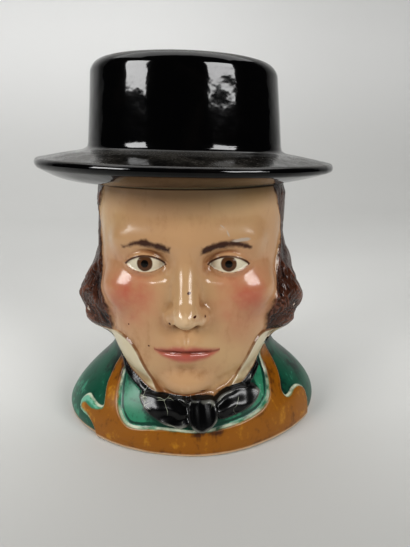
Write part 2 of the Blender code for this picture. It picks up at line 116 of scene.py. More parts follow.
# The fine meshes: columns by count and degrees, closest on the face
COLUMN_TURNS = [(0, 0), (80, 40), (150, 105), (190, 180)]
OUTER_ROWS = 228
CAVITY_ROWS = 10
HAT_COLUMNS = 240

THIRD = (RIM_HEIGHT - HEAD_FOOT) / 2.7
MOUTH_RADIUS = RIM_RADIUS - WALL
HAT_SEAT = RIM_HEIGHT + SEAT_GAP

# The hat sits aside within its play, and both pieces move back by as much, to centre the brim
HAT_SHIFT = -0.85 * FLANGE_PLAY


def smooth_curve(stations, places):
    """A natural cubic spline through (place, value) stations, level beyond its ends."""
    xs, ys = np.array(stations, float).T
    places = np.clip(places, xs[0], xs[-1])
    gaps = np.diff(xs)
    count = len(xs)
    bends = np.eye(count)
    pulls = np.zeros(count)
    for i in range(1, count - 1):
        bends[i, i - 1 : i + 2] = gaps[i - 1], 2 * (gaps[i - 1] + gaps[i]), gaps[i]
        pulls[i] = 6 * ((ys[i + 1] - ys[i]) / gaps[i] - (ys[i] - ys[i - 1]) / gaps[i - 1])
    curving = np.linalg.solve(bends, pulls)
    i = np.clip(np.searchsorted(xs, places, side="right") - 1, 0, count - 2)
    gap = gaps[i]
    a = (xs[i + 1] - places) / gap
    b = 1 - a
    bow = ((a**3 - a) * curving[i] + (b**3 - b) * curving[i + 1]) * gap**2 / 6
    return a * ys[i] + b * ys[i + 1] + bow


def bend(a, b, c, d, t):
    """A place on the Catmull-Rom curve from b to c, whose neighbours are a and d."""
    pull = 3 * (b - c) + d - a
    return (2 * b + t * (c - a) + t * t * (2 * a - 5 * b + 4 * c - d) + t**3 * pull) / 2


def eased(value):
    """0 below 0, 1 above 1, and a smooth step between."""
    value = np.clip(value, 0, 1)
    return value * value * (3 - 2 * value)


def joined(a, b, blend):
    """Two distance fields as one form, with a fillet about `blend` wide where they meet."""
    share = np.clip(0.5 + 0.5 * (b - a) / blend, 0, 1)
    return b + (a - b) * share - blend * share * (1 - share)


def egg(p, centre, radii):
    """Distance to an ellipsoid, near enough close to its surface."""
    q = [(p[i] - centre[i]) / radii[i] for i in range(3)]
    size = np.sqrt(sum(c**2 for c in q))
    slope = np.sqrt(sum((q[i] / radii[i]) ** 2 for i in range(3)))
    return size * (size - 1) / np.maximum(slope, 1e-9)


def rod(p, start, end, start_radius, end_radius):
    """Distance to a round tapering rod."""
    run = [end[i] - start[i] for i in range(3)]
    along = sum((p[i] - start[i]) * run[i] for i in range(3)) / sum(c**2 for c in run)
    along = np.clip(along, 0, 1)
    away = np.sqrt(sum((p[i] - start[i] - along * run[i]) ** 2 for i in range(3)))
    return away - (start_radius + along * (end_radius - start_radius))


def oval(x, y, half_width, front, back, squareness):
    """Distance outwards, along a ray from the axis, to an oval with its own front and back depth."""
    depth = np.where(y < 0, front, back)
    away = np.hypot(x, y) + 1e-9
    size = (np.abs(x) / half_width) ** squareness + (np.abs(y) / depth) ** squareness
    return away * (1 - np.maximum(size, 1e-9) ** (-1 / squareness))


# Where the features sit: heights from thirds of the face, widths as shares of the rim's radius
EYE_HEIGHT, NOSE_FOOT, MOUTH_HEIGHT = (HEAD_FOOT + thirds * THIRD for thirds in (1.74, 1.0, 0.665))
EYE_ASIDE, EYE_HALF_WIDTH, MOUTH_HALF_WIDTH, PAINTED_LIP_HALF_WIDTH = 0.40, 0.19, 0.32, 0.33
CARVED_HALF_SPAN, PAINTED_HALF_SPAN = np.radians(60), np.radians(75)

# The eye's parts, as shares of its half width
LID_RISE, LID_DROP = 0.45, 0.34
IRIS_RADIUS, PUPIL_RADIUS, GAZE_RISE = 0.40, 0.19, 0.09

# The head's ovals, as shares of the rim's radius at heights counted in thirds of the face
HEAD_HALF_WIDTH = [
    (-0.25, 0.55), (0, 0.66), (0.3, 0.83), (0.6, 0.91), (1, 0.965), (1.4, 1), (2, 0.99), (2.7, 1),
]  # fmt: skip
HEAD_FRONT = [
    (-0.25, 0.9), (0, 1.02), (0.3, 1.1), (0.6, 1.1), (1, 1.075), (1.4, 1.03), (1.75, 0.99), (2.7, 1),
]  # fmt: skip
HEAD_BACK = [
    (-0.25, 0.72), (0, 0.78), (0.3, 0.86), (0.6, 0.95), (1, 1.06), (1.4, 1.12), (1.9, 1.1), (2.7, 1),
]  # fmt: skip
HEAD_SQUARENESS = [(0, 2.1), (0.6, 2.25), (1.75, 2.3), (2.3, 2.15), (2.7, 2)]


def plain_head(p):
    x, y, z = p
    thirds = in_thirds(z)
    half_width, front, back = (
        RIM_RADIUS * smooth_curve(stations, thirds) for stations in (HEAD_HALF_WIDTH, HEAD_FRONT, HEAD_BACK)
    )
    return oval(x, y, half_width, front, back, smooth_curve(HEAD_SQUARENESS, thirds))


def spot(side, forward, thirds):
    """A place on the head: sideways and forward in rim radii, and up in thirds of the face."""
    return side * RIM_RADIUS, -forward * RIM_RADIUS, HEAD_FOOT + thirds * THIRD


def sizes(*shares):
    return [share * RIM_RADIUS for share in shares]


def carved(form, tool, blend):
    """A form with a tool's shape taken out of it."""
    return -joined(-form, tool, blend)


def face(p):
    """The head with its features, calm and even. One side's features are mirrored to the other."""
    x, y, z = p
    half = (np.abs(x), y, z)
    wide, soft, medium, firm = sizes(0.2, 0.12, 0.07, 0.035)
    brow_ridge = rod(half, spot(0, 0.92, 2.03), spot(0.60, 0.74, 2.02), *sizes(0.10, 0.075))
    cheekbone = egg(half, spot(0.56, 0.66, 1.36), sizes(0.32, 0.29, 0.26))
    muzzle = egg(p, spot(0, 0.78, 0.70), sizes(0.40, 0.36, 0.34))
    chin = egg(p, spot(0, 0.94, 0.20), sizes(0.28, 0.24, 0.18))
    socket = egg(half, spot(0.36, 1.03, 1.76), sizes(0.25, 0.16, 0.15))
    eyeball = egg(half, spot(0.40, 0.76, 1.745), sizes(0.225, 0.215, 0.185))
    bridge = rod(p, spot(0, 0.92, 1.90), spot(0, 1.12, 1.26), *sizes(0.10, 0.12))
    nose_tip = egg(p, spot(0, 1.16, 1.165), sizes(0.125, 0.15, 0.115))
    nose_wing = egg(half, spot(0.125, 1.035, 1.12), sizes(0.085, 0.14, 0.09))
    nostril = egg(half, spot(0.075, 1.17, 1.02), sizes(0.045, 0.07, 0.035))
    upper_lip = rod(half, spot(0.03, 1.105, 0.75), spot(0.32, 0.98, 0.68), *sizes(0.055, 0.018))
    lower_lip = rod(half, spot(0, 1.09, 0.585), spot(0.28, 0.98, 0.645), *sizes(0.075, 0.025))
    form = plain_head(p)
    for feature, blend in ((brow_ridge, wide), (cheekbone, soft), (muzzle, soft), (chin, medium)):
        form = joined(form, feature, blend)
    form = joined(carved(form, socket, medium), eyeball, firm)
    for feature, blend in ((bridge, soft), (nose_tip, medium), (nose_wing, medium)):
        form = joined(form, feature, blend)
    form = carved(form, nostril, firm)
    return joined(joined(form, upper_lip, medium), lower_lip, medium)


def side_whiskers(p):
    """The bushy hair that covers the ears, with a lumpy curled surface."""
    x, y, z = p
    half = (np.abs(x), y, z)
    up, along = z / CURL_LENGTH, y / CURL_LENGTH
    curls = np.sin(up + 1.3 * np.sin(0.77 * along)) + np.sin(0.79 * along + 0.46 * up)
    puff = egg(half, spot(0.89, 0.17, 1.06), sizes(0.31, 0.50, 0.38))
    puff = joined(puff, egg(half, spot(0.84, -0.16, 1.25), sizes(0.24, 0.52, 0.50)), 0.2 * RIM_RADIUS)
    return puff - 0.5 * CURL_DEPTH * curls


# The shoulders' spread from the neck to the base, at shares of their height
SHOULDER_SPREAD = [
    (0, 1), (0.1, 1.02), (0.25, 0.94), (0.4, 0.77), (0.55, 0.52), (0.7, 0.25), (0.85, 0.08), (1, 0),
]  # fmt: skip
NECK_HALF_WIDTH, NECK_FRONT, NECK_BACK = 0.87, 0.87, 0.98
BUST_SQUARENESS = 1.8


def bust(p):
    x, y, z = p
    spread = smooth_curve(SHOULDER_SPREAD, z / BUST_HEIGHT)
    necks = sizes(NECK_HALF_WIDTH, NECK_FRONT, NECK_BACK)
    bases = (BASE_HALF_WIDTH, BASE_FRONT, BASE_BACK)
    half_width, front, back = (neck + spread * (base - neck) for neck, base in zip(necks, bases))
    above = np.maximum(z - BUST_HEIGHT, 0)
    return oval(x, y + BUST_FORWARD, half_width, front, back, BUST_SQUARENESS) + above


def turned(p):
    """The same place in the head's own directions, which look a little to the figure's right."""
    x, y, z = p
    along, across = np.cos(HEAD_TURN), np.sin(HEAD_TURN)
    return x * along + y * across, y * along - x * across, z


def from_front(angles):
    """Angles counted from the head's own front instead of the jar's."""
    return (angles - HEAD_TURN + np.pi) % (2 * np.pi) - np.pi


def in_thirds(heights):
    return (heights - HEAD_FOOT) / THIRD


def figure(p):
    head = joined(face(turned(p)), side_whiskers(turned(p)), 0.17 * RIM_RADIUS)
    return joined(head, bust(p), 0.03 * RIM_RADIUS)


def plain_figure(p):
    return joined(plain_head(p), bust(p), 0.2 * RIM_RADIUS)


def ray_radius(form, angles, heights, halvings=9):
    """How far from the axis a form's outermost surface lies, at each angle from the front and height."""
    outside = np.full(np.broadcast(angles, heights).shape, SEARCH_REACH)
    sines, cosines = np.sin(angles), np.cos(angles)

    def free(radius):
        return form((radius * sines, -radius * cosines, heights + 0 * radius)) > 0

    searching = np.ones(outside.shape, bool)
    for _ in range(int(SEARCH_REACH / SEARCH_STEP) - 1):
        searching &= free(outside - SEARCH_STEP)
        if not searching.any():
            break
        outside = np.where(searching, outside - SEARCH_STEP, outside)
    inside = outside - SEARCH_STEP
    for _ in range(halvings):
        middle = (inside + outside) / 2
        clear = free(middle)
        outside, inside = np.where(clear, middle, outside), np.where(clear, inside, middle)
    return (inside + outside) / 2


# Outlines on the figure: degrees round from the head's own front, and fortieths of the bust's height up
LAPELS = [
    (-44, 38), (-50, 31), (-49, 25), (-47, 21.4), (-44.5, 18), (-43.5, 14.5), (-47, 13.8), (-52, 14.8),
    (-56, 15.3), (-59, 12), (-57, 8.5), (-50, 7.5), (-46, 4.5), (-45, 0), (-44, -6), (10, -6), (66, -6),
    (68, 4), (70, 9), (70.5, 13), (67, 15.6), (62, 16.2), (58, 15.4), (54.5, 15.6), (53.5, 18.9),
    (57, 22.6), (60, 26.4), (61, 31), (57, 38), (50, 38), (50, 31), (49, 26.4), (46, 22.2), (44, 19.5),
    (41, 17.5), (37, 15.7), (31, 14.3), (25, 13.3), (18, 12.6), (12, 11.9), (4, 11.6), (-6, 12.2),
    (-16, 11.9), (-22, 11), (-27, 10.9), (-30.5, 12.6), (-34, 16), (-36.5, 20.2), (-39, 24.5),
    (-41, 29), (-41.5, 34),
]  # fmt: skip
BOW_LEFT = [
    (-25, 23.5), (-22.5, 25.6), (-17, 25.9), (-9, 25.4), (1, 25.2), (3, 17), (0, 13.6), (-8, 14),
    (-15, 16), (-21, 19.4),
]  # fmt: skip
BOW_RIGHT = [
    (11, 22), (16, 26.2), (23, 27.6), (30, 27.6), (36.5, 26), (39.5, 23.6), (36, 20.4), (30, 18),
    (24, 16.6), (15, 16),
]  # fmt: skip
KNOT = [(0.5, 25.4), (0, 18), (2.5, 13.5), (7, 12), (12, 14.2), (14.8, 18), (13.8, 24.6), (7, 26.2)]
COLLAR_TOP = [
    (-180, 45), (-80, 46), (-49, 47), (-33, 46), (-27, 41.5), (-22.5, 35), (-18, 28.8), (-11, 24.9),
    (-3, 23.2), (8, 23.2), (16, 25.2), (23, 28.2), (29, 32), (34, 38), (39, 44), (52, 47), (80, 46),
    (180, 45),
]  # fmt: skip
COLLAR_FOOT = [
    (-180, 40), (-80, 40), (-47, 39), (-41, 34), (-32, 30.4), (-22, 27), (-15, 24.7), (-8, 22.4),
    (0, 21.5), (12, 21.5), (20, 24.6), (30, 27.4), (38, 30.5), (45, 33.8), (52, 39), (80, 40),
    (180, 40),
]  # fmt: skip
BUST_UNIT = BUST_HEIGHT / 40
BAND_HALF_SPAN = np.radians(46)
BAND_WIDTH = 3.2 * MM

# The hair's front edge in degrees, at heights counted in thirds of the face
HAIR_EDGE = [
    (0.4, 66), (0.6, 54), (0.75, 49.5), (1, 47.5), (1.15, 48), (1.3, 51), (1.5, 56), (1.75, 62),
    (2.05, 70), (2.3, 67), (2.5, 60), (2.7, 56),
]  # fmt: skip
HAIR_FOOT = 0.42
OUTLINE_RADIUS = 1.13 * RIM_RADIUS


def flat(outline, bends=5):
    """A closed outline's points as metres round and up, with a smooth curve through its corners."""
    corners = [(np.radians(angle) * OUTLINE_RADIUS, height * BUST_UNIT) for angle, height in outline]
    before, here, after, beyond = (np.roll(corners, shift, axis=0) for shift in (1, 0, -1, -2))
    pieces = [bend(before, here, after, beyond, t) for t in np.arange(bends) / bends]
    return np.stack(pieces, axis=1).reshape(-1, 2)


def depth_within(outline, around, up):
    """How far inside a closed outline each place is, and negative outside it."""
    loop = flat(outline)
    nearest = np.full(around.shape, np.inf)
    crossings = np.zeros(around.shape, int)
    for (ax, ay), (bx, by) in zip(loop, np.roll(loop, -1, axis=0)):
        run_x, run_y = bx - ax, by - ay
        along = ((around - ax) * run_x + (up - ay) * run_y) / (run_x**2 + run_y**2)
        along = np.clip(along, 0, 1)
        nearest = np.minimum(nearest, np.hypot(around - ax - along * run_x, up - ay - along * run_y))
        spans = (ay > up) != (by > up)
        crossings += spans & (around < ax + (up - ay) / (by - ay + (by == ay)) * run_x)
    return np.where(crossings % 2, nearest, -nearest)


def edge_height(stations, angles):
    """A collar edge's height at each angle, and how much nearer its slope brings it than straight up."""
    turns = np.degrees(angles)
    height = smooth_curve(stations, turns) * BUST_UNIT
    slope = (smooth_curve(stations, turns + 1) - smooth_curve(stations, turns - 1)) * BUST_UNIT
    return height, 1 / np.hypot(1, slope / (2 * np.radians(1) * OUTLINE_RADIUS))


def collar_depth(angles, heights):
    (top, top_share), (foot, foot_share) = edge_height(COLLAR_TOP, angles), edge_height(COLLAR_FOOT, angles)
    return np.minimum((top - heights) * top_share, (heights - foot) * foot_share)


def band_depth(angles, heights):
    foot, share = edge_height(COLLAR_FOOT, angles)
    within = share * (BAND_WIDTH / 2 - np.abs(heights - foot + BAND_WIDTH / 2))
    return np.minimum(within, (BAND_HALF_SPAN - np.abs(angles)) * OUTLINE_RADIUS)


def wings_depth(around, up):
    return np.maximum(depth_within(BOW_LEFT, around, up), depth_within(BOW_RIGHT, around, up))


def from_knot(around, up):
    """Each place from the middle of the bow's knot: across, up, straight, and as an angle above level."""
    middle = np.mean(flat(KNOT), axis=0)
    across, rise = around - middle[0], up - middle[1]
    return across, rise, np.hypot(across, rise), np.arctan2(rise, np.abs(across))


def pleats(around, up):
    """Folds in the bow's wings, spreading from the knot and dying out towards the tips."""
    _, _, away, fan = from_knot(around, up)
    return PLEAT_DEPTH * np.exp(-away / PLEAT_SPREAD) * (1 + np.cos(11 * fan + 1.5))


def hair_depth(angles, heights):
    thirds = in_thirds(heights)
    edge = np.radians(smooth_curve(HAIR_EDGE, thirds))
    return np.minimum((np.abs(angles) - edge) * OUTLINE_RADIUS, (thirds - HAIR_FOOT) * THIRD)


def almond(x, z, width, rise, drop):
    """How far inside a pointed eye shape each place is, from its two arcs."""
    upper = (width**2 + rise**2) / (2 * rise)
    lower = (width**2 + drop**2) / (2 * drop)
    below = upper - np.hypot(x, z + upper - rise)
    above = lower - np.hypot(x, z - lower + drop)
    return np.minimum(below, above)


def groove(distance, width):
    return np.exp(-((distance / width) ** 2))


def from_eye(x, heights):
    """Each place from the nearer eye's middle, outwards and up, and how far inside its opening it is."""
    across = np.abs(x) - EYE_ASIDE * RIM_RADIUS
    rise = heights - EYE_HEIGHT
    width = EYE_HALF_WIDTH * RIM_RADIUS
    return across, rise, width, almond(across, rise, width, LID_RISE * width, LID_DROP * width)


def above_mouth(x, heights):
    """Height above the curved line where the lips meet."""
    return heights - MOUTH_HEIGHT - LIP_BOW * np.cos(x / LIP_BOW_WIDTH) - 0.2 * x**2 / RIM_RADIUS


def cuts(x, heights):
    """Relief of the eye openings, lid creases, lips and philtrum, on the front of the head."""
    across, rise, width, opening = from_eye(x, heights)
    crease = almond(across, rise, 1.12 * width, 0.72 * width, 0.5 * width)
    lids = -LID_THICKNESS * eased(0.5 + opening / (0.5 * RELIEF_EDGE))
    lids -= 0.5 * LID_THICKNESS * groove(crease, CREASE_WIDTH) * (rise > 0.1 * width)
    within_mouth = eased(6 * (MOUTH_HALF_WIDTH - np.abs(x) / RIM_RADIUS))
    mouth = -LIP_CUT * groove(above_mouth(x, heights), LIP_CUT_WIDTH) * within_mouth
    above_lip = eased((heights - MOUTH_HEIGHT) / (2 * PHILTRUM_WIDTH) - 0.6)
    under_nose = above_lip * eased((NOSE_FOOT - heights) / PHILTRUM_WIDTH)
    philtrum = -0.5 * LIP_CUT * groove(x, PHILTRUM_WIDTH) * under_nose
    return lids + mouth + philtrum


def locks(angles, heights):
    """Waves of hair running down the head, from -1 to 1."""
    fall = heights / LOCK_LENGTH
    sway = 2.2 * np.sin(fall) + 0.9 * np.sin(2.13 * fall + 2 * angles)
    return np.sin(13 * angles + sway) * (0.75 + 0.25 * np.cos(2.77 * fall + 5 * angles))


def dressed(radius, angles, heights):
    """The figure's radius with its clothes and hair raised on it."""
    own = from_front(angles)
    around = own * OUTLINE_RADIUS
    lapels = np.minimum(depth_within(LAPELS, around, heights), edge_height(COLLAR_FOOT, own)[0] - heights)
    coats = LAPEL_RAISE * eased(0.5 + lapels / RELIEF_EDGE)
    collar = COLLAR_RAISE * eased(0.5 + collar_depth(own, heights) / RELIEF_EDGE)
    band = BAND_RAISE * eased(0.5 + band_depth(own, heights) / RELIEF_EDGE)
    wings = wings_depth(around, heights)
    bow = BOW_RAISE * eased(0.2 + 0.6 * wings / RELIEF_EDGE) - pleats(around, heights) * (wings > 0)
    knot = KNOT_RAISE * eased(0.2 + 0.6 * depth_within(KNOT, around, heights) / RELIEF_EDGE)
    hair = eased(0.5 + 0.6 * hair_depth(own, heights) / RELIEF_EDGE)
    combed = hair * (HAIR_RAISE + LOCK_DEPTH * locks(own, heights))
    below_rim = eased((RIM_HEIGHT - heights) / HAIR_FADE)
    radius = radius + np.maximum.reduce([coats, collar, band, bow, knot, combed * below_rim])
    return radius + np.where(np.abs(own) < CARVED_HALF_SPAN, cuts(radius * np.sin(own), heights), 0)


# The paint, as heights and widths on the face
CHEEK_SPOT = (0.56, 1.34)
CHEEK_SPREAD = 0.30
BROW_SPOTS = [(0.17, 1.955), (0.30, 2.01), (0.45, 2.025), (0.60, 1.955)]
BROW_HALF_WIDTH = 1.7 * MM

# The lapel's turquoise tip, in degrees round and bust units up, and the waistcoat's span
NOTCH_SPOT, NOTCH_SPREAD = (-53, 13.5), (7.5, 4.5)
WAIST_MIDDLE, WAIST_HALF_SPAN = np.radians(4), np.radians(44)

# The depth given to bare clay in the map of each painted area
OUTSIDE_PAINT = -9.0

# Damage, and a painted highlight: degrees from the head's front, thirds of the face, half width and half height
# in millimetres, lean
CHIPS = [
    (1.5, 1.48, 0.75, 0.6, 0.2), (4, 1.22, 0.6, 0.6, 0), (9, 1.17, 0.35, 0.65, 0.3),
    (-7.5, 1.08, 0.5, 0.75, -0.3), (3.5, 1.05, 0.55, 0.4, 0), (-20, 0.70, 0.6, 0.4, 0),
    (-33, 0.93, 0.5, 0.5, 0), (8, 0.13, 1.4, 0.35, -0.2),
]  # fmt: skip
# Pale glaze flakes beside the whiskers; the three above the brow at 20 to 30 degrees are a painted highlight, a
# window's reflection on the brow
FLAKES_AND_BROW_HIGHLIGHT = [
    (19.6, 2.23, 1.5, 0.35, -0.75), (22.2, 2.15, 0.4, 1.3, 0.35), (29.6, 2.06, 4.6, 0.62, 0.05),
    (-62, 0.98, 0.7, 0.9, 0.3), (66, 1.02, 0.5, 0.9, 0),
]  # fmt: skip


def blurred(rows, reach):
    """A grid's values averaged over a square of cells, wrapping round the columns."""
    size = 2 * reach + 1
    padded = np.pad(rows, ((reach, reach), (0, 0)), mode="edge")
    padded = np.pad(padded, ((0, 0), (reach, reach)), mode="wrap")
    for axis in (0, 1):
        sums = np.cumsum(padded, axis=axis)
        first = np.take(sums, [size - 1], axis=axis)
        upper = np.take(sums, range(size, sums.shape[axis]), axis=axis)
        lower = np.take(sums, range(0, sums.shape[axis] - size), axis=axis)
        padded = np.concatenate([first, upper - lower], axis=axis) / size
    return padded


def column_angles():
    half = COLUMN_TURNS[-1][0]
    turns = smooth_curve(COLUMN_TURNS, np.arange(half + 1))
    return np.radians(np.concatenate([-turns[:0:-1], turns[:-1]]))


def strands(own, heights):
    """Fine combed strands of hair, curlier on the side whiskers."""
    curly = groove(np.abs(own) - np.radians(62), np.radians(24)) * groove(in_thirds(heights) - 1.0, 0.45)
    wave = 3.0 * np.sin(heights / (5.5 * MM) + 2 * own) + 1.6 * np.sin(heights / (2.9 * MM) - 5 * own)
    ringlets = 5.0 * np.sin(heights / (2.6 * MM) + 9 * own) + 3.0 * np.cos(heights / (1.7 * MM) - 14 * own)
    wave = wave + curly * ringlets
    fine = np.sin(72 * own + wave) + 0.6 * np.sin(47 * own - 1.4 * wave + heights / (6 * MM))
    broken = 0.6 + 0.4 * np.sin(heights / (3.3 * MM) + 9 * own)
    return STRAND_DEPTH * (1 + curly) * fine * broken


def crumples(around, up):
    """Small folds pressed into the bow: upright on its knot, and running out from it on the wings."""
    across, rise, away, fan = from_knot(around, up)
    folds = np.sin(15 * fan + 0.35 * away / MM) + 0.7 * np.sin(9 * fan - 0.8 * away / MM + 2)
    upright = 0.8 * np.sin((across / 0.62 + 0.12 * rise) / MM)
    on_wing = eased((away - 4 * MM) / (5 * MM))
    return CRUMPLE_DEPTH * (folds * on_wing + upright * (1 - on_wing))


def brow_depth(x, heights):
    """How far inside an eyebrow's tapering stroke each place is."""
    side = np.abs(x) / RIM_RADIUS
    middle = HEAD_FOOT + THIRD * smooth_curve(BROW_SPOTS, side)
    inner, outer = BROW_SPOTS[0][0], BROW_SPOTS[-1][0]
    along = np.clip((side - inner) / (outer - inner), 0, 1)
    half = BROW_HALF_WIDTH * (0.55 + 0.9 * along) * (1.25 - along)
    ends = np.minimum(side - inner, outer - side) * RIM_RADIUS
    return np.minimum(half - np.abs(heights - middle), ends + MM)


def spots_depth(spots, own, heights):
    """How far inside the nearest of some small ovals each place is, in millimetres."""
    depths = []
    for angle, thirds, half_width, half_height, lean in spots:
        across = (own - np.radians(angle)) * OUTLINE_RADIUS / MM
        up = (heights - HEAD_FOOT - thirds * THIRD) / MM
        across, up = across + lean * up, up - lean * across
        size = np.hypot(across / half_width, up / half_height)
        depths.append((1 - size) * min(half_width, half_height))
    return np.maximum.reduce(depths)


def paint_map(own, heights, radius):
    """Every painted area's depth in millimetres on the figure: above 0 inside it."""
    around = own * OUTLINE_RADIUS
    x = radius * np.sin(own)
    front = np.abs(own) < PAINTED_HALF_SPAN
    off_face = OUTSIDE_PAINT * (1.0 - front)
    across, rise, width, opening = from_eye(x, heights)
    from_gaze = np.hypot(across, rise - GAZE_RISE * width)
    lip_curve = above_mouth(x, heights)
    span = np.clip(1 - (np.abs(x) / (PAINTED_LIP_HALF_WIDTH * RIM_RADIUS)) ** 2, 0, 1)
    bowed = 1 - 0.25 * groove(x, 1.3 * MM)
    upper = np.minimum(lip_curve + 0.2 * MM, UPPER_LIP * span * bowed - lip_curve)
    lower = np.minimum(0.2 * MM - lip_curve, LOWER_LIP * span + lip_curve)
    cheek_side, cheek_thirds = CHEEK_SPOT
    cheek = np.hypot(np.abs(x) / RIM_RADIUS - cheek_side, (in_thirds(heights) - cheek_thirds) * 0.75)
    bow = np.maximum(wings_depth(around, heights), depth_within(KNOT, around, heights))
    neck = edge_height(COLLAR_FOOT, own)[0] - heights
    low = eased((4.5 * MM - heights) / (7 * MM))
    behind = eased((np.abs(own) - np.radians(62)) / 0.5)
    notch_round = (np.degrees(own) - NOTCH_SPOT[0]) / NOTCH_SPREAD[0]
    notch_up = (heights / BUST_UNIT - NOTCH_SPOT[1]) / NOTCH_SPREAD[1]
    return {
        "hair": hair_depth(own, heights) / MM,
        "cloth": neck / MM,
        "lapel": np.minimum(depth_within(LAPELS, around, heights), neck) / MM,
        "collar": collar_depth(own, heights) / MM,
        "bow": np.maximum(bow, band_depth(own, heights)) / MM,
        "brow": brow_depth(x, heights) / MM + off_face,
        "eye": opening / MM + off_face,
        "lash": 0.4 - np.abs(opening / MM + 0.25) - 0.3 * (rise < 0) + off_face,
        "chips": spots_depth(CHIPS, own, heights),
        # Pale flakes, and a painted highlight above one brow
        "flakes_and_highlight": spots_depth(FLAKES_AND_BROW_HIGHLIGHT, own, heights),
        "iris": (IRIS_RADIUS * width - from_gaze) / MM + off_face,
        "pupil": (PUPIL_RADIUS * width - from_gaze) / MM + off_face,
        "lips": np.maximum(upper, lower) / MM + OUTSIDE_PAINT * (span < 0.01) + off_face,
        "mouth": np.where(span > 0.02, 0.55 * np.sqrt(span) - np.abs(lip_curve) / MM, OUTSIDE_PAINT) + off_face,
        "blush": groove(cheek, CHEEK_SPREAD) * front,
        "notch": groove(notch_round, 1) * groove(notch_up, 1),
        "shade": 1.2 * low + 0.8 * behind,
        "waist": (WAIST_HALF_SPAN - np.abs(own - WAIST_MIDDLE)) * OUTLINE_RADIUS / MM,
    }


def in_scene(name, data):
    made = bpy.data.objects.new(name, data)
    bpy.context.scene.collection.objects.link(made)
    return made


def give_attributes(mesh, values):
    for name, numbers in values.items():
        attribute = mesh.attributes.new(name, "FLOAT", "POINT")
        attribute.data.foreach_set("value", np.asarray(numbers, np.float32).ravel())


def lofted(name, start, rings, end):
    """One closed mesh through rings of points, closed to a single point at each end."""
    count = len(rings[0])
    points = np.concatenate([[start], *rings, [end]])
    column = np.arange(count)
    beside = (column + 1) % count
    quads = []
    for row in range(len(rings) - 1):
        low, high = 1 + row * count, 1 + (row + 1) * count
        quads.append(np.stack([low + column, high + column, high + beside, low + beside], axis=1))
    first = [(0, 1 + i, 1 + (i + 1) % count) for i in range(count)]
    last_ring, top = 1 + (len(rings) - 1) * count, len(points) - 1
    last = [(last_ring + i, top, last_ring + (i + 1) % count) for i in range(count)]
    faces = first + np.concatenate(quads).tolist() + last
    mesh = bpy.data.meshes.new(name)
    mesh.from_pydata(points.tolist(), [], faces)
    shape = bmesh.new()
    shape.from_mesh(mesh)
    bmesh.ops.recalc_face_normals(shape, faces=shape.faces)
    shape.to_mesh(mesh)
    shape.free()
    mesh.shade_smooth()
    made = in_scene(name, mesh)
    made.location.x = -HAT_SHIFT
    return made


def cavity_radius(angles, heights):
    """The inside of the wall: one wall's thickness from the plain figure, square to its surface."""
    dips = np.linspace(-1, 1, 9) * WALL
    nearest = [
        ray_radius(plain_figure, angles, np.maximum(heights + dip, 0)) - np.sqrt(WALL**2 - dip**2)
        for dip in dips
    ]
    return np.minimum.reduce(nearest)


def ring(radius, angles, height):
    level = np.broadcast_to(height, angles.shape)
    return np.stack([radius * np.sin(angles), -radius * np.cos(angles), level], axis=1)


def make_jar():
    angles = column_angles()
    count = len(angles)
    floor = FOOT_RECESS + FLOOR_THICKNESS
    base = ray_radius(bust, angles, 0 * angles)
    heights = np.linspace(FOOT_CHAMFER, RIM_HEIGHT - RIM_EDGE, OUTER_ROWS)
    around, level = np.meshgrid(angles, heights)
    own = from_front(around)
    bare = ray_radius(figure, around, level)
    radius = dressed(bare, around, level)
    paint = paint_map(own, level, radius)
    hair = eased(paint["hair"] / 2) * (paint["bow"] < 0)
    radius = radius + hair * strands(own, level) * eased((RIM_HEIGHT - level) / (4 * MM))
    radius = radius + eased(paint["bow"] / 1.5) * crumples(own * OUTLINE_RADIUS, level)
    wavy = np.sin(3 * around + level / (9 * MM)) + np.sin(7 * around - level / (5 * MM))
    radius = radius + HAND_WAVER * wavy * eased((RIM_HEIGHT - level) / (8 * MM))
    paint["hollow"] = (blurred(radius, 5) - radius) / MM
    paint["broad"] = (blurred(radius, 14) - radius) / MM
    below = [
        ring(base - FOOT_WIDTH - FOOT_RECESS, angles, FOOT_RECESS),
        ring(base - FOOT_WIDTH, angles, 0),
        ring(radius[0] - FOOT_CHAMFER, angles, 0),
    ]
    outer = [ring(row, angles, height) for row, height in zip(radius, heights)]
    rim = [
        ring(RIM_RADIUS - RIM_EDGE, angles, RIM_HEIGHT),
        ring(MOUTH_RADIUS + RIM_EDGE, angles, RIM_HEIGHT),
        ring(MOUTH_RADIUS, angles, RIM_HEIGHT - RIM_EDGE),
    ]
    inside = [ring(MOUTH_RADIUS, angles, RIM_HEIGHT - MOUTH_DEPTH)]
    for height in np.linspace(RIM_HEIGHT - MOUTH_DEPTH, floor, CAVITY_ROWS)[1:]:
        inside.append(ring(cavity_radius(angles, height + 0 * angles), angles, height))
    inside[-1] = ring(cavity_radius(angles, floor + 0 * angles) - WALL, angles, floor)
    jar = lofted("painted_jar", (0, 0, FOOT_RECESS), below + outer + rim + inside, (0, 0, floor))
    before, after = 1 + len(below) * count, (len(rim) + len(inside)) * count + 1
    paint["painted"] = np.ones(around.shape)
    values = {}
    for name, numbers in paint.items():
        off = 0.0 if name in ("blush", "hollow", "broad", "notch", "shade", "painted") else OUTSIDE_PAINT
        values[name] = np.concatenate([np.full(before, off), numbers.ravel(), np.full(after, off)])
    give_attributes(jar.data, values)
    return jar


def arc(centre_radius, centre_height, size, start, end, steps):
    """Points of a round edge in a turned profile, from one angle above level to another."""
    turns = np.radians(np.linspace(start, end, steps))
    return [(centre_radius + size * np.cos(t), centre_height + size * np.sin(t)) for t in turns]


def run(start, end, steps):
    """Evenly spaced points between two, without the first."""
    shares = np.arange(1, steps + 1) / steps
    return [(start[0] + s * (end[0] - start[0]), start[1] + s * (end[1] - start[1])) for s in shares]


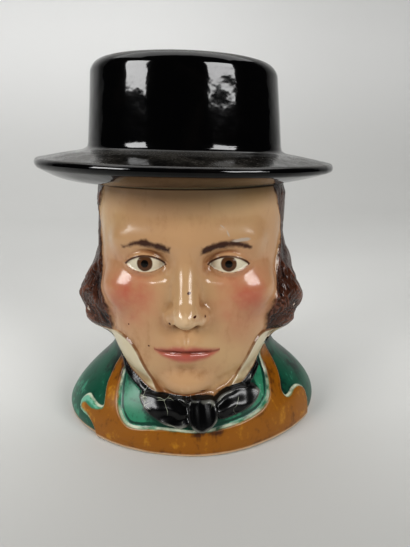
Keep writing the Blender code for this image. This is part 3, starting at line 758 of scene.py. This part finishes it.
def hat_profile():
    """The hat's bare clay from under its roof down round the flange, then its glaze from there to the top."""
    flange_radius = MOUTH_RADIUS - FLANGE_PLAY
    edge_radius = CROWN_TOP_RADIUS - CROWN_EDGE
    edge_height = CROWN_HEIGHT - CROWN_EDGE
    roof = CROWN_HEIGHT - CROWN_DISH - WALL
    inside = [
        (edge_radius - WALL, roof),
        (CROWN_TOP_RADIUS - WALL, edge_height - WALL),
        (CROWN_RADIUS - WALL, CROWN_FOOT),
        (flange_radius - FLANGE_WALL, 0),
    ]
    flange = [
        (flange_radius - FLANGE_WALL, FLANGE_CHAMFER - FLANGE_DEPTH),
        (flange_radius - FLANGE_WALL + FLANGE_CHAMFER, -FLANGE_DEPTH),
        (flange_radius - FLANGE_CHAMFER, -FLANGE_DEPTH),
        (flange_radius, FLANGE_CHAMFER - FLANGE_DEPTH),
        (flange_radius, 0),
        (RIM_RADIUS - FLANGE_CHAMFER, 0),
        (RIM_RADIUS, 0.4 * FLANGE_CHAMFER),
    ]
    brim = arc(BRIM_RADIUS - BRIM_EDGE_RADIUS, BRIM_EDGE_HEIGHT, BRIM_EDGE_RADIUS, -68, 72, 14)
    underside = run(flange[-1], brim[0], 14)[:-1]
    bulges = BRIM_BELLY * np.sin(np.pi * np.arange(1, len(underside) + 1) / (len(underside) + 1))
    underside = [(radius, height - bulge) for (radius, height), bulge in zip(underside, bulges)]
    slope = (CROWN_FOOT - brim[-1][1]) / (brim[-1][0] - CROWN_RADIUS)
    rising = [
        brim[-1],
        (CROWN_RADIUS + 5 * CROWN_FILLET, CROWN_FOOT - 4.4 * CROWN_FILLET * slope),
        (CROWN_RADIUS + 1.6 * CROWN_FILLET, CROWN_FOOT - 1.1 * CROWN_FILLET * slope),
        (CROWN_RADIUS + 0.35 * CROWN_FILLET, CROWN_FOOT + 0.4 * CROWN_FILLET),
        (CROWN_RADIUS, CROWN_FOOT + 1.4 * CROWN_FILLET),
    ]
    top_of_brim = smooth_path(rising, 9)[1:]
    side = run(rising[-1], (CROWN_TOP_RADIUS, edge_height), 16)[:-1]
    edge = arc(edge_radius, edge_height, CROWN_EDGE, 0, 90, 14)
    dish = run((edge_radius, CROWN_HEIGHT), (0, CROWN_HEIGHT - CROWN_DISH), 12)[:-1]
    return inside + flange, underside + brim + top_of_brim + side + edge + dish, roof


def smooth_path(points, steps):
    """A Catmull-Rom curve through points, ends included."""
    points = np.array([points[0], *points, points[-1]])
    spans = zip(points, points[1:], points[2:], points[3:])
    curve = [tuple(bend(*span, t)) for span in spans for t in np.arange(steps) / steps]
    return [*curve, tuple(points[-1])]


def make_hat():
    bare, glazed, roof = hat_profile()
    angles = np.linspace(0, 2 * np.pi, HAT_COLUMNS, endpoint=False)
    rings, painted = [], []
    for index, (radius, height) in enumerate(bare + glazed):
        waver = np.sin(2 * angles + height / (20 * MM)) + np.sin(3 * angles - height / (11 * MM))
        on_crown = eased((height - CROWN_FOOT) / (6 * MM)) * (index >= len(bare))
        level = ring(radius + HAND_WAVER * waver * on_crown, angles, height)
        level[:, 2] -= HAT_LEAN * level[:, 0] * eased(height / BRIM_EDGE_HEIGHT)
        level += (HAT_SHIFT, 0, HAT_SEAT)
        rings.append(level)
        painted.append(np.full(len(angles), float(index >= len(bare))))
    top = HAT_SEAT + CROWN_HEIGHT - CROWN_DISH
    hat = lofted("black_hat", (HAT_SHIFT, 0, HAT_SEAT + roof), rings, (HAT_SHIFT, 0, top))
    give_attributes(hat.data, {"painted": np.concatenate([[0.0], *painted, [1.0]])})
    return hat


# Glaze and paint colours, linear
FLESH = {"Thin": (0.68, 0.49, 0.31), "Glaze": (0.53, 0.325, 0.175), "Pooled": (0.27, 0.115, 0.042)}
HAIR = {"Thin": (0.135, 0.050, 0.028), "Glaze": (0.058, 0.019, 0.009), "Pooled": (0.014, 0.006, 0.005)}
COAT = {"Thin": (0.045, 0.25, 0.155), "Glaze": (0.005, 0.080, 0.045), "Pooled": (0.001, 0.017, 0.011)}
WAISTCOAT = {"Thin": (0.19, 0.46, 0.33), "Glaze": (0.030, 0.215, 0.118), "Pooled": (0.003, 0.050, 0.030)}
AMBER = {"Thin": (0.42, 0.185, 0.010), "Glaze": (0.268, 0.096, 0.002), "Pooled": (0.055, 0.013, 0.001)}
BLACK = {"Thin": (0.16, 0.16, 0.14), "Glaze": (0.0015, 0.0015, 0.0018), "Pooled": (0.001, 0.001, 0.001)}
LINEN = {"Thin": (0.72, 0.66, 0.50), "Glaze": (0.64, 0.56, 0.39), "Pooled": (0.32, 0.22, 0.11)}
BARE_EDGE = (0.58, 0.62, 0.47)
BLUSH = (0.47, 0.135, 0.085)
LIP = (0.43, 0.12, 0.085)
LIP_LINE = (0.17, 0.04, 0.025)
BROW = (0.055, 0.019, 0.009)
LASH = (0.075, 0.028, 0.014)
FOLD = (0.19, 0.075, 0.028)
CHIP = (0.065, 0.012, 0.008)
# Pale flakes, and the painted highlight above one brow
FLAKE_AND_HIGHLIGHT = (0.50, 0.41, 0.33)
YELLOWED = (0.60, 0.43, 0.225)
# Painted shade: the brim's shadow across the top of the head
BRIM_SHADOW_PAINT = (0.20, 0.115, 0.055)
EYE_WHITE = (0.70, 0.63, 0.48)
IRIS = (0.10, 0.045, 0.02)
PUPIL = (0.006, 0.005, 0.004)
CLAY = (0.70, 0.60, 0.44)
DUST = (0.16, 0.145, 0.12)
PINHOLE = (0.05, 0.03, 0.02)
RUSTY_PINHOLE = (0.09, 0.055, 0.035)
# Painted shadow in the gap between the hat and the jar's rim
SEAM_SHADOW_PAINT = (0.035, 0.020, 0.012)
WORN_FOOT = (0.58, 0.40, 0.25)
BROWNED = (0.014, 0.010, 0.008)

# Roughness, as greys
CLAY_ROUGH, CLOTH_ROUGH, BOW_ROUGH, HAIR_ROUGH = ((level,) * 3 for level in (0.32, 0.36, 0.24, 0.25))

# How far the painted shade under the brim, the painted shadow at the seam and the worn foot reach
RIM_SHADE_REACH = 16 * MM
# Painted shadow of the seam: where it starts below the rim, and where it is full
SEAM_SHADOW_REACH = (1.3 * MM, 0.5 * MM)
FOOT_WEAR_HEIGHT = 1.8 * MM
BUMP_DISTANCE = 0.6 * MM


def feed(tree, node, values):
    """Sets a node's inputs to numbers or colours, or links them from other nodes' outputs."""
    for key, value in values.items():
        socket = node.inputs[key]
        if isinstance(value, bpy.types.NodeSocket):
            tree.links.new(value, socket)
        elif socket.type == "RGBA":
            socket.default_value = (*value, 1)
        else:
            socket.default_value = value


def put(tree, kind, values=None, **settings):
    """A node of a kind, with its settings and inputs."""
    made = tree.nodes.new("ShaderNode" + kind)
    for name, setting in settings.items():
        setattr(made, name, setting)
    feed(tree, made, values or {})
    return made


def maths(tree, operation, a, b=0.0, clamp=False):
    return put(tree, "Math", {0: a, 1: b}, operation=operation, use_clamp=clamp).outputs[0]


def times(tree, result, *factors):
    for factor in factors:
        result = maths(tree, "MULTIPLY", result, factor)
    return result


def plus(tree, result, *others):
    for other in others:
        result = maths(tree, "ADD", result, other)
    return result


def own_place(tree):
    """Each place in the piece's own coordinates, which don't move with it."""
    return put(tree, "TexCoord").outputs["Object"]


def blended(tree, share, under, over):
    return put(tree, "Mix", {0: share, 6: under, 7: over}, data_type="RGBA").outputs[2]


def ranged(tree, value, low, high, start=0.0, end=1.0):
    """A smooth step from start to end while a value goes from low to high."""
    values = {0: value, 1: low, 2: high, 3: start, 4: end}
    return put(tree, "MapRange", values, interpolation_type="SMOOTHSTEP").outputs[0]


def noise(tree, scale, detail=2.0, roughness=0.5, distortion=0.0, where=None):
    values = {"Scale": scale, "Detail": detail, "Roughness": roughness, "Distortion": distortion}
    return put(tree, "TexNoise", {"Vector": where or own_place(tree), **values}).outputs[0]


def groove_at(tree, depth, middle, half_width):
    """1 along a line at one depth of an area, fading out to each side."""
    away = maths(tree, "ABSOLUTE", maths(tree, "SUBTRACT", depth, middle))
    return ranged(tree, away, 0.2 * half_width, half_width, 1.0, 0.0)


def new_group(name, inputs, outputs):
    """An empty node group with named sockets, and its input and output nodes."""
    tree = bpy.data.node_groups.new(name, "ShaderNodeTree")
    for label, kind, default in inputs:
        socket = tree.interface.new_socket(label, in_out="INPUT", socket_type="NodeSocket" + kind)
        socket.default_value = (*default, 1) if isinstance(default, tuple) else default
    for label, kind in outputs:
        tree.interface.new_socket(label, in_out="OUTPUT", socket_type="NodeSocket" + kind)
    return tree, tree.nodes.new("NodeGroupInput").outputs, tree.nodes.new("NodeGroupOutput").inputs


def place(tree, group, values):
    """A copy of a group in a material, with its own values."""
    return put(tree, "Group", values, node_tree=bpy.data.node_groups[group]).outputs


def brushed_edge_group():
    """Turns an area's depth in millimetres into a mask whose edge wavers as a brush leaves it."""
    inputs = [("Depth", "Float", 0.0), ("Waver", "Float", 0.4), ("Softness", "Float", 0.3)]
    tree, given, out = new_group("brushed edge", inputs, [("Mask", "Float")])
    drift = maths(tree, "SUBTRACT", noise(tree, 260.0, 3.0), 0.5)
    depth = plus(tree, given["Depth"], times(tree, drift, times(tree, given["Waver"], 2.0)))
    step = maths(tree, "DIVIDE", depth, times(tree, given["Softness"], 2.0))
    tree.links.new(ranged(tree, plus(tree, step, 0.5), 0.0, 1.0), out["Mask"])


def pooled_glaze_group():
    """A coloured glaze that runs off ridges and gathers, darker, in hollows."""
    inputs = [
        ("Thin", "Color", (1.0, 1.0, 1.0)),
        ("Glaze", "Color", (0.5, 0.5, 0.5)),
        ("Pooled", "Color", (0.0, 0.0, 0.0)),
        ("Hollow", "Float", 0.0),
        ("Bare ridges", "Float", 0.3),
        ("Deep hollows", "Float", 0.3),
        ("Mottle", "Float", 0.35),
    ]
    tree, given, out = new_group("pooled glaze", inputs, [("Colour", "Color")])
    drawn_out = put(tree, "VectorMath", {0: own_place(tree), 1: (1.0, 1.0, 0.4)}, operation="MULTIPLY")
    streaks = maths(tree, "SUBTRACT", noise(tree, 130.0, 5.0, 0.62, 0.5, drawn_out.outputs[0]), 0.5)
    grain = maths(tree, "SUBTRACT", noise(tree, 420.0, 3.0), 0.5)
    uneven = times(tree, plus(tree, streaks, times(tree, grain, 0.35)), given["Mottle"])
    level = plus(tree, given["Hollow"], uneven)
    all_bare, half_bare = (times(tree, given["Bare ridges"], share) for share in (-1.0, -0.4))
    colour = blended(tree, ranged(tree, level, all_bare, half_bare, 1.0, 0.0), given["Glaze"], given["Thin"])
    colour = blended(tree, ranged(tree, level, 0.0, given["Deep hollows"]), colour, given["Pooled"])
    tree.links.new(colour, out["Colour"])


def fired_surface_group():
    """The glaze's own skin: an uneven gloss, a faint ripple and scattered pinholes."""
    inputs = [("Gloss", "Float", 0.12), ("Unevenness", "Float", 0.08), ("Pinholes", "Float", 0.5)]
    outputs = [("Roughness", "Float"), ("Height", "Float"), ("Pits", "Float")]
    tree, given, out = new_group("fired surface", inputs, outputs)
    rough = plus(tree, given["Gloss"], times(tree, noise(tree, 55.0, 4.0), given["Unevenness"]))
    spots = put(tree, "TexVoronoi", {"Vector": own_place(tree), "Scale": 210.0, "Randomness": 1.0})
    few = ranged(tree, spots.outputs["Color"], 0.90, 0.95)
    size = times(tree, noise(tree, 130.0, 2.0), 0.22)
    pits = times(tree, ranged(tree, spots.outputs["Distance"], size, 0.02), few, given["Pinholes"])
    ripple = plus(tree, times(tree, noise(tree, 190.0, 2.0), 0.3), noise(tree, 85.0, 1.0))
    height = maths(tree, "SUBTRACT", ripple, pits)
    for socket, name in ((rough, "Roughness"), (height, "Height"), (pits, "Pits")):
        tree.links.new(socket, out[name])


def settled_dust_group():
    """Dust and wiping marks, thickest on what faces up."""
    tree, given, out = new_group("settled dust", [("Amount", "Float", 0.5)], [("Mask", "Float")])
    normal = put(tree, "NewGeometry").outputs["Normal"]
    flat_top = ranged(tree, put(tree, "SeparateXYZ", {0: normal}).outputs["Z"], 0.45, 0.95)
    patchy = ranged(tree, noise(tree, 60.0, 5.0, 0.65), 0.30, 0.75)
    fine = ranged(tree, noise(tree, 900.0, 2.0), 0.35, 0.75)
    cover = plus(tree, times(tree, patchy, 0.7), times(tree, fine, 0.3))
    tree.links.new(times(tree, flat_top, cover, given["Amount"]), out["Mask"])


def pushed_about(tree, wander, reach):
    """Each place, moved by a drifting noise."""
    where = own_place(tree)
    drift = put(tree, "TexNoise", {"Vector": where, "Scale": wander, "Detail": 2.0}).outputs["Color"]
    push = put(tree, "VectorMath", {0: drift, "Scale": reach}, operation="SCALE").outputs[0]
    return put(tree, "VectorMath", {0: where, 1: push}, operation="ADD").outputs[0]


def curled_hair_group():
    """Clotted curls of hair: their relief, and how far down in a hollow each place is."""
    inputs = [("Scale", "Float", 260.0), ("Swirl", "Float", 1.0)]
    tree, given, out = new_group("curled hair", inputs, [("Height", "Float"), ("Hollow", "Float")])
    swirled = pushed_about(tree, 85.0, times(tree, given["Swirl"], 0.022))
    hanging = put(tree, "VectorMath", {0: swirled, 1: (1.0, 1.0, 0.45)}, operation="MULTIPLY").outputs[0]
    rings_at = put(tree, "TexVoronoi", {"Vector": swirled, "Scale": given["Scale"]}, feature="SMOOTH_F1")
    rings = maths(tree, "SINE", times(tree, rings_at.outputs["Distance"], 14.0))
    height = plus(tree, noise(tree, given["Scale"], 3.0, 0.5, 1.2, hanging), times(tree, rings, 0.16))
    tree.links.new(height, out["Height"])
    tree.links.new(maths(tree, "SUBTRACT", 0.5, height), out["Hollow"])


def hairline_group():
    """Thin pale scratches and craze lines."""
    inputs = [("Scale", "Float", 90.0), ("Width", "Float", 0.02)]
    tree, given, out = new_group("hairlines", inputs, [("Mask", "Float")])
    values = {"Vector": pushed_about(tree, 120.0, 0.006), "Scale": given["Scale"]}
    cells = put(tree, "TexVoronoi", values, feature="DISTANCE_TO_EDGE")
    line = ranged(tree, cells.outputs[0], 0.0, given["Width"], 1.0, 0.0)
    tree.links.new(times(tree, line, ranged(tree, noise(tree, 95.0, 3.0), 0.52, 0.62)), out["Mask"])


def new_material(name):
    material = bpy.data.materials.new(name)
    material.use_nodes = True
    tree = material.node_tree
    return material, tree, tree.nodes["Principled BSDF"]


def amount(tree, name):
    """What the mesh holds of one kind of paint at each place."""
    return put(tree, "Attribute", attribute_name=name).outputs["Fac"]


def brushed(tree, area, waver=0.4, softness=0.3):
    """A painted area's mask, from its depth or from the name that its depth has on the mesh."""
    depth = amount(tree, area) if isinstance(area, str) else area
    return place(tree, "brushed edge", {"Depth": depth, "Waver": waver, "Softness": softness})["Mask"]


def glaze(tree, colours, hollow, bare, deep, mottle):
    values = {"Hollow": hollow, "Bare ridges": bare, "Deep hollows": deep, "Mottle": mottle}
    return place(tree, "pooled glaze", {**colours, **values})["Colour"]


def painted_skin(tree, fine, broad, height):
    """The flesh, with its blush, lips, eyes and brows, and the brim's shadow painted across its top."""
    skin = glaze(tree, FLESH, plus(tree, fine, times(tree, broad, 0.04)), 0.9, 1.1, 1.7)
    skin = blended(tree, ranged(tree, noise(tree, 30.0, 3.0), 0.45, 0.7, 0.0, 0.5), skin, YELLOWED)
    under_brim_shadow = ranged(tree, height, RIM_HEIGHT - RIM_SHADE_REACH, RIM_HEIGHT)
    uneven = ranged(tree, noise(tree, 110.0, 4.0), 0.25, 0.75, 0.4, 1.0)
    seen = brushed(tree, "eye", 0.1, 0.25)
    for mask, paint in (
        # Painted shade: the brim's shadow, darkest just under the rim
        (times(tree, under_brim_shadow, under_brim_shadow, 0.3), BRIM_SHADOW_PAINT),
        (times(tree, amount(tree, "blush"), uneven), BLUSH),
        (brushed(tree, "lips", 0.6, 1.3), LIP),
        (brushed(tree, "mouth", 0.2, 0.5), LIP_LINE),
        (seen, EYE_WHITE),
        (times(tree, brushed(tree, "iris", 0.15, 0.3), seen), IRIS),
        (times(tree, brushed(tree, "pupil", 0.1, 0.25), seen), PUPIL),
        (brushed(tree, "lash", 0.15, 0.25), LASH),
        (brushed(tree, "brow", 1.5, 0.8), BROW),
    ):
        skin = blended(tree, mask, skin, paint)
    return skin


def painted_cloth(tree, fine, both):
    """The coat and the waistcoat, with the amber lapels over them and a bare line along the lapels' edge."""
    lapel, shade = amount(tree, "lapel"), amount(tree, "shade")
    coat = glaze(tree, COAT, plus(tree, both, shade), 0.9, 0.9, 4.0)
    waist = glaze(tree, WAISTCOAT, plus(tree, fine, groove_at(tree, lapel, -1.5, 0.7)), 0.8, 1.0, 4.4)
    cloth = blended(tree, brushed(tree, "waist", 0.3, 0.4), coat, waist)
    pooled_edge = times(tree, groove_at(tree, lapel, 1.1, 1.2), 0.45)
    amber = glaze(tree, AMBER, plus(tree, both, times(tree, shade, 0.6), pooled_edge), 1.0, 1.1, 3.8)
    turquoise = glaze(tree, WAISTCOAT, fine, 0.5, 0.6, 1.0)
    past_tip = maths(tree, "SUBTRACT", lapel, plus(tree, times(tree, amount(tree, "notch"), 2.8), 0.1))
    lapels = blended(tree, brushed(tree, past_tip, 0.7, 0.5), turquoise, amber)
    cloth = blended(tree, brushed(tree, lapel, 0.4, 0.25), cloth, lapels)
    broken = ranged(tree, noise(tree, 160.0, 3.0), 0.3, 0.6)
    return blended(tree, times(tree, groove_at(tree, lapel, -0.15, 0.5), broken), cloth, BARE_EDGE)


def finish(tree, shader, colour, rough, relief, strength, index):
    """Sends a glaze's looks to the shader, with bare clay wherever the mesh isn't painted."""
    painted = amount(tree, "painted")
    bump = put(tree, "Bump", {"Height": relief, "Strength": strength, "Distance": BUMP_DISTANCE})
    looks = {
        "Base Color": blended(tree, painted, CLAY, colour),
        "Roughness": blended(tree, painted, CLAY_ROUGH, rough),
        "Normal": bump.outputs[0],
        "IOR": index,
    }
    feed(tree, shader, looks)


def painted_glaze():
    """The jar's finish: every painted colour in its place under one clear glossy glaze."""
    material, tree, shader = new_material("painted glaze")
    height = put(tree, "SeparateXYZ", {0: own_place(tree)}).outputs["Z"]
    fine, broad = amount(tree, "hollow"), amount(tree, "broad")
    both = plus(tree, fine, times(tree, broad, 0.35))
    on_cloth, on_bow = brushed(tree, "cloth", 0.2, 0.25), brushed(tree, "bow", 0.3, 0.2)
    in_hair, on_collar = brushed(tree, "hair", 1.2, 0.7), brushed(tree, "collar", 0.2, 0.25)
    curls = place(tree, "curled hair", {"Scale": 290.0, "Swirl": 1.0})
    combed = plus(tree, fine, times(tree, curls["Hollow"], 0.8))
    folded = groove_at(tree, amount(tree, "collar"), 0.0, 0.9)
    folded = times(tree, folded, ranged(tree, noise(tree, 90.0, 3.0), 0.25, 0.55), 0.9)
    scratches = place(tree, "hairlines", {"Scale": 110.0, "Width": 0.02})["Mask"]
    bow = blended(tree, times(tree, scratches, 0.5), glaze(tree, BLACK, fine, 1.5, 0.5, 0.5), BARE_EDGE)
    surface = place(tree, "fired surface", {"Gloss": 0.10, "Unevenness": 0.12, "Pinholes": 0.8})
    seam_shadow_from, seam_shadow_full = SEAM_SHADOW_REACH
    ragged_height = plus(tree, height, times(tree, noise(tree, 150.0, 3.0), MM))
    colour = painted_skin(tree, fine, broad, height)
    for mask, paint in (
        (on_cloth, painted_cloth(tree, fine, both)),
        (in_hair, glaze(tree, HAIR, combed, 0.5, 0.4, 1.0)),
        (on_collar, glaze(tree, LINEN, both, 0.8, 0.9, 0.8)),
        (folded, FOLD),
        (on_bow, bow),
        (brushed(tree, "chips", 0.35, 0.15), CHIP),
        # Pale flakes, and a painted highlight above one brow
        (brushed(tree, "flakes_and_highlight", 0.55, 0.25), FLAKE_AND_HIGHLIGHT),
        (surface["Pits"], PINHOLE),
        # Painted shadow of the seam under the hat, along the top of the rim
        (ranged(tree, height, RIM_HEIGHT - seam_shadow_from, RIM_HEIGHT - seam_shadow_full), SEAM_SHADOW_PAINT),
        (ranged(tree, ragged_height, FOOT_WEAR_HEIGHT, FOOT_WEAR_HEIGHT + MM, 1.0, 0.0), WORN_FOOT),
    ):
        colour = blended(tree, mask, colour, paint)
    bare_hair = times(tree, in_hair, maths(tree, "SUBTRACT", 1.0, on_collar))
    rough = blended(tree, times(tree, on_cloth, 0.8), surface["Roughness"], CLOTH_ROUGH)
    rough = blended(tree, bare_hair, blended(tree, on_bow, rough, BOW_ROUGH), HAIR_ROUGH)
    relief = plus(tree, surface["Height"], times(tree, curls["Height"], bare_hair, 2.6))
    finish(tree, shader, colour, rough, relief, strength=0.25, index=1.46)
    return material


def black_glaze():
    """The hat's finish: thick black glaze, worn and dusty on the brim."""
    material, tree, shader = new_material("black glaze")
    surface = place(tree, "fired surface", {"Gloss": 0.045, "Unevenness": 0.07, "Pinholes": 0.6})
    dust = place(tree, "settled dust", {"Amount": 0.75})["Mask"]
    streaks = ranged(tree, noise(tree, 34.0, 5.0, 0.6, 1.5), 0.45, 0.75)
    colour = blended(tree, times(tree, streaks, 0.2), BLACK["Glaze"], BROWNED)
    colour = blended(tree, surface["Pits"], colour, RUSTY_PINHOLE)
    colour = blended(tree, times(tree, dust, 0.42), colour, DUST)
    rough = maths(tree, "ADD", surface["Roughness"], times(tree, dust, 0.5), clamp=True)
    finish(tree, shader, colour, rough, surface["Height"], strength=0.50, index=1.48)
    return material


def backdrop_paper():
    """Pale paper with painted shade towards the viewer, at the foot of its curve and to one side, and painted
    light up its back.
    """
    material, tree, shader = new_material("pale paper")
    where = put(tree, "SeparateXYZ", {0: own_place(tree)}).outputs
    tone = blended(tree, noise(tree, 3.0, 2.0), (0.65, 0.65, 0.63), (0.70, 0.70, 0.68))
    # Painted shade on the floor towards the viewer and at the foot of the curve, and painted light up the back
    tone = blended(tree, ranged(tree, where["Y"], -0.22, 0.05), (0.27, 0.27, 0.257), tone)
    tone = blended(tree, ranged(tree, where["Y"], 0.06, 0.34), tone, (0.56, 0.56, 0.545))
    tone = blended(tree, ranged(tree, where["Z"], 0.02, 0.42), tone, (0.90, 0.90, 0.89))
    # Painted shade towards one side
    tone = blended(tree, ranged(tree, where["X"], -0.1, 0.5, 0.0, 0.3), tone, (0.42, 0.42, 0.405))
    tree.links.new(tone, shader.inputs["Base Color"])
    shader.inputs["Roughness"].default_value = 0.75
    return material


# The photograph's viewpoint
CAMERA_AZIMUTH = np.radians(-4)
CAMERA_DISTANCE = 215.4 * MM
CAMERA_HEIGHT = 128.8 * MM
CAMERA_HEADING = np.radians(5.72)
CAMERA_PITCH = np.radians(16.57)
FOCAL_PIXELS = 450
PICTURE_HEIGHT = 547
SENSOR = 36.0


def direction(turn, rise):
    """Straight out from the jar: turned from its front, and raised above level."""
    return Vector((np.sin(turn) * np.cos(rise), -np.cos(turn) * np.cos(rise), np.sin(rise)))


def aim(thing, looking):
    thing.rotation_euler = looking.to_track_quat("-Z", "Y").to_euler()


def make_camera():
    data = bpy.data.cameras.new("camera")
    data.sensor_width = SENSOR
    data.lens = FOCAL_PIXELS / PICTURE_HEIGHT * SENSOR
    data.clip_start = 0.01
    camera = in_scene("camera", data)
    camera.location = (
        CAMERA_DISTANCE * np.sin(CAMERA_AZIMUTH) - HAT_SHIFT,
        -CAMERA_DISTANCE * np.cos(CAMERA_AZIMUTH),
        CAMERA_HEIGHT,
    )
    aim(camera, -direction(-CAMERA_HEADING, CAMERA_PITCH))
    bpy.context.scene.camera = camera


# The paper's sides, its curve and its top
PAPER_FRONT, PAPER_BACK, PAPER_HALF_WIDTH = -1.6, 0.55, 2.5
PAPER_CURVE, PAPER_HEIGHT = 0.45, 2.2


def make_backdrop():
    """A pale sheet that runs under the jar and curves up behind it."""
    profile = [(PAPER_FRONT, 0.0), (PAPER_BACK, 0.0)]
    for turn in np.radians(np.linspace(0, 90, 16)):
        profile.append((PAPER_BACK + PAPER_CURVE * np.sin(turn), PAPER_CURVE * (1 - np.cos(turn))))
    profile.append((PAPER_BACK + PAPER_CURVE, PAPER_HEIGHT))
    points = [(side, y, z) for y, z in profile for side in (-PAPER_HALF_WIDTH, PAPER_HALF_WIDTH)]
    faces = [(2 * i, 2 * i + 1, 2 * i + 3, 2 * i + 2) for i in range(len(profile) - 1)]
    mesh = bpy.data.meshes.new("paper")
    mesh.from_pydata(points, [], faces)
    mesh.shade_smooth()
    mesh.materials.append(backdrop_paper())
    sheet = in_scene("paper", mesh)


def softbox(name, azimuth, elevation, distance, width, height, power):
    """A rectangular light aimed at the jar's middle from a direction round it."""
    data = bpy.data.lights.new(name, "AREA")
    data.shape = "RECTANGLE"
    data.size, data.size_y = width, height
    data.energy = power
    lamp = in_scene(name, data)
    away = direction(np.radians(azimuth), np.radians(elevation))
    lamp.location = Vector((0, 0, RIM_HEIGHT * 0.7)) + distance * away
    aim(lamp, -away)


def light_studio():
    softbox("left window", azimuth=-60, elevation=26, distance=1.3, width=0.60, height=0.42, power=9.0)
    softbox("right window", azimuth=41, elevation=26.3, distance=1.3, width=0.68, height=0.40, power=9.0)
    softbox("overhead", azimuth=180, elevation=74, distance=1.8, width=3.0, height=2.0, power=29.5)
    world = bpy.data.worlds.new("studio air")
    world.use_nodes = True
    air = world.node_tree.nodes["Background"]
    air.inputs["Color"].default_value = (0.93, 0.95, 0.96, 1)
    seen = put(world.node_tree, "LightPath").outputs["Is Camera Ray"]
    strength = plus(world.node_tree, times(world.node_tree, seen, 0.75), 0.012)
    world.node_tree.links.new(strength, air.inputs["Strength"])
    bpy.context.scene.world = world
    bpy.context.scene.view_settings.view_transform = "Standard"
    bpy.context.scene.view_settings.look = "Medium High Contrast"


def main():
    for make_group in (
        brushed_edge_group,
        pooled_glaze_group,
        fired_surface_group,
        settled_dust_group,
        curled_hair_group,
        hairline_group,
    ):
        make_group()
    for piece, node, slot, material in (
        (make_jar(), "head_jar", "painted_glaze", painted_glaze()),
        (make_hat(), "hat_lid", "black_glaze", black_glaze()),
    ):
        piece.data.materials.append(material)
        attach(piece, "root")
        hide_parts(node)
    make_backdrop()
    light_studio()
    make_camera()


main()
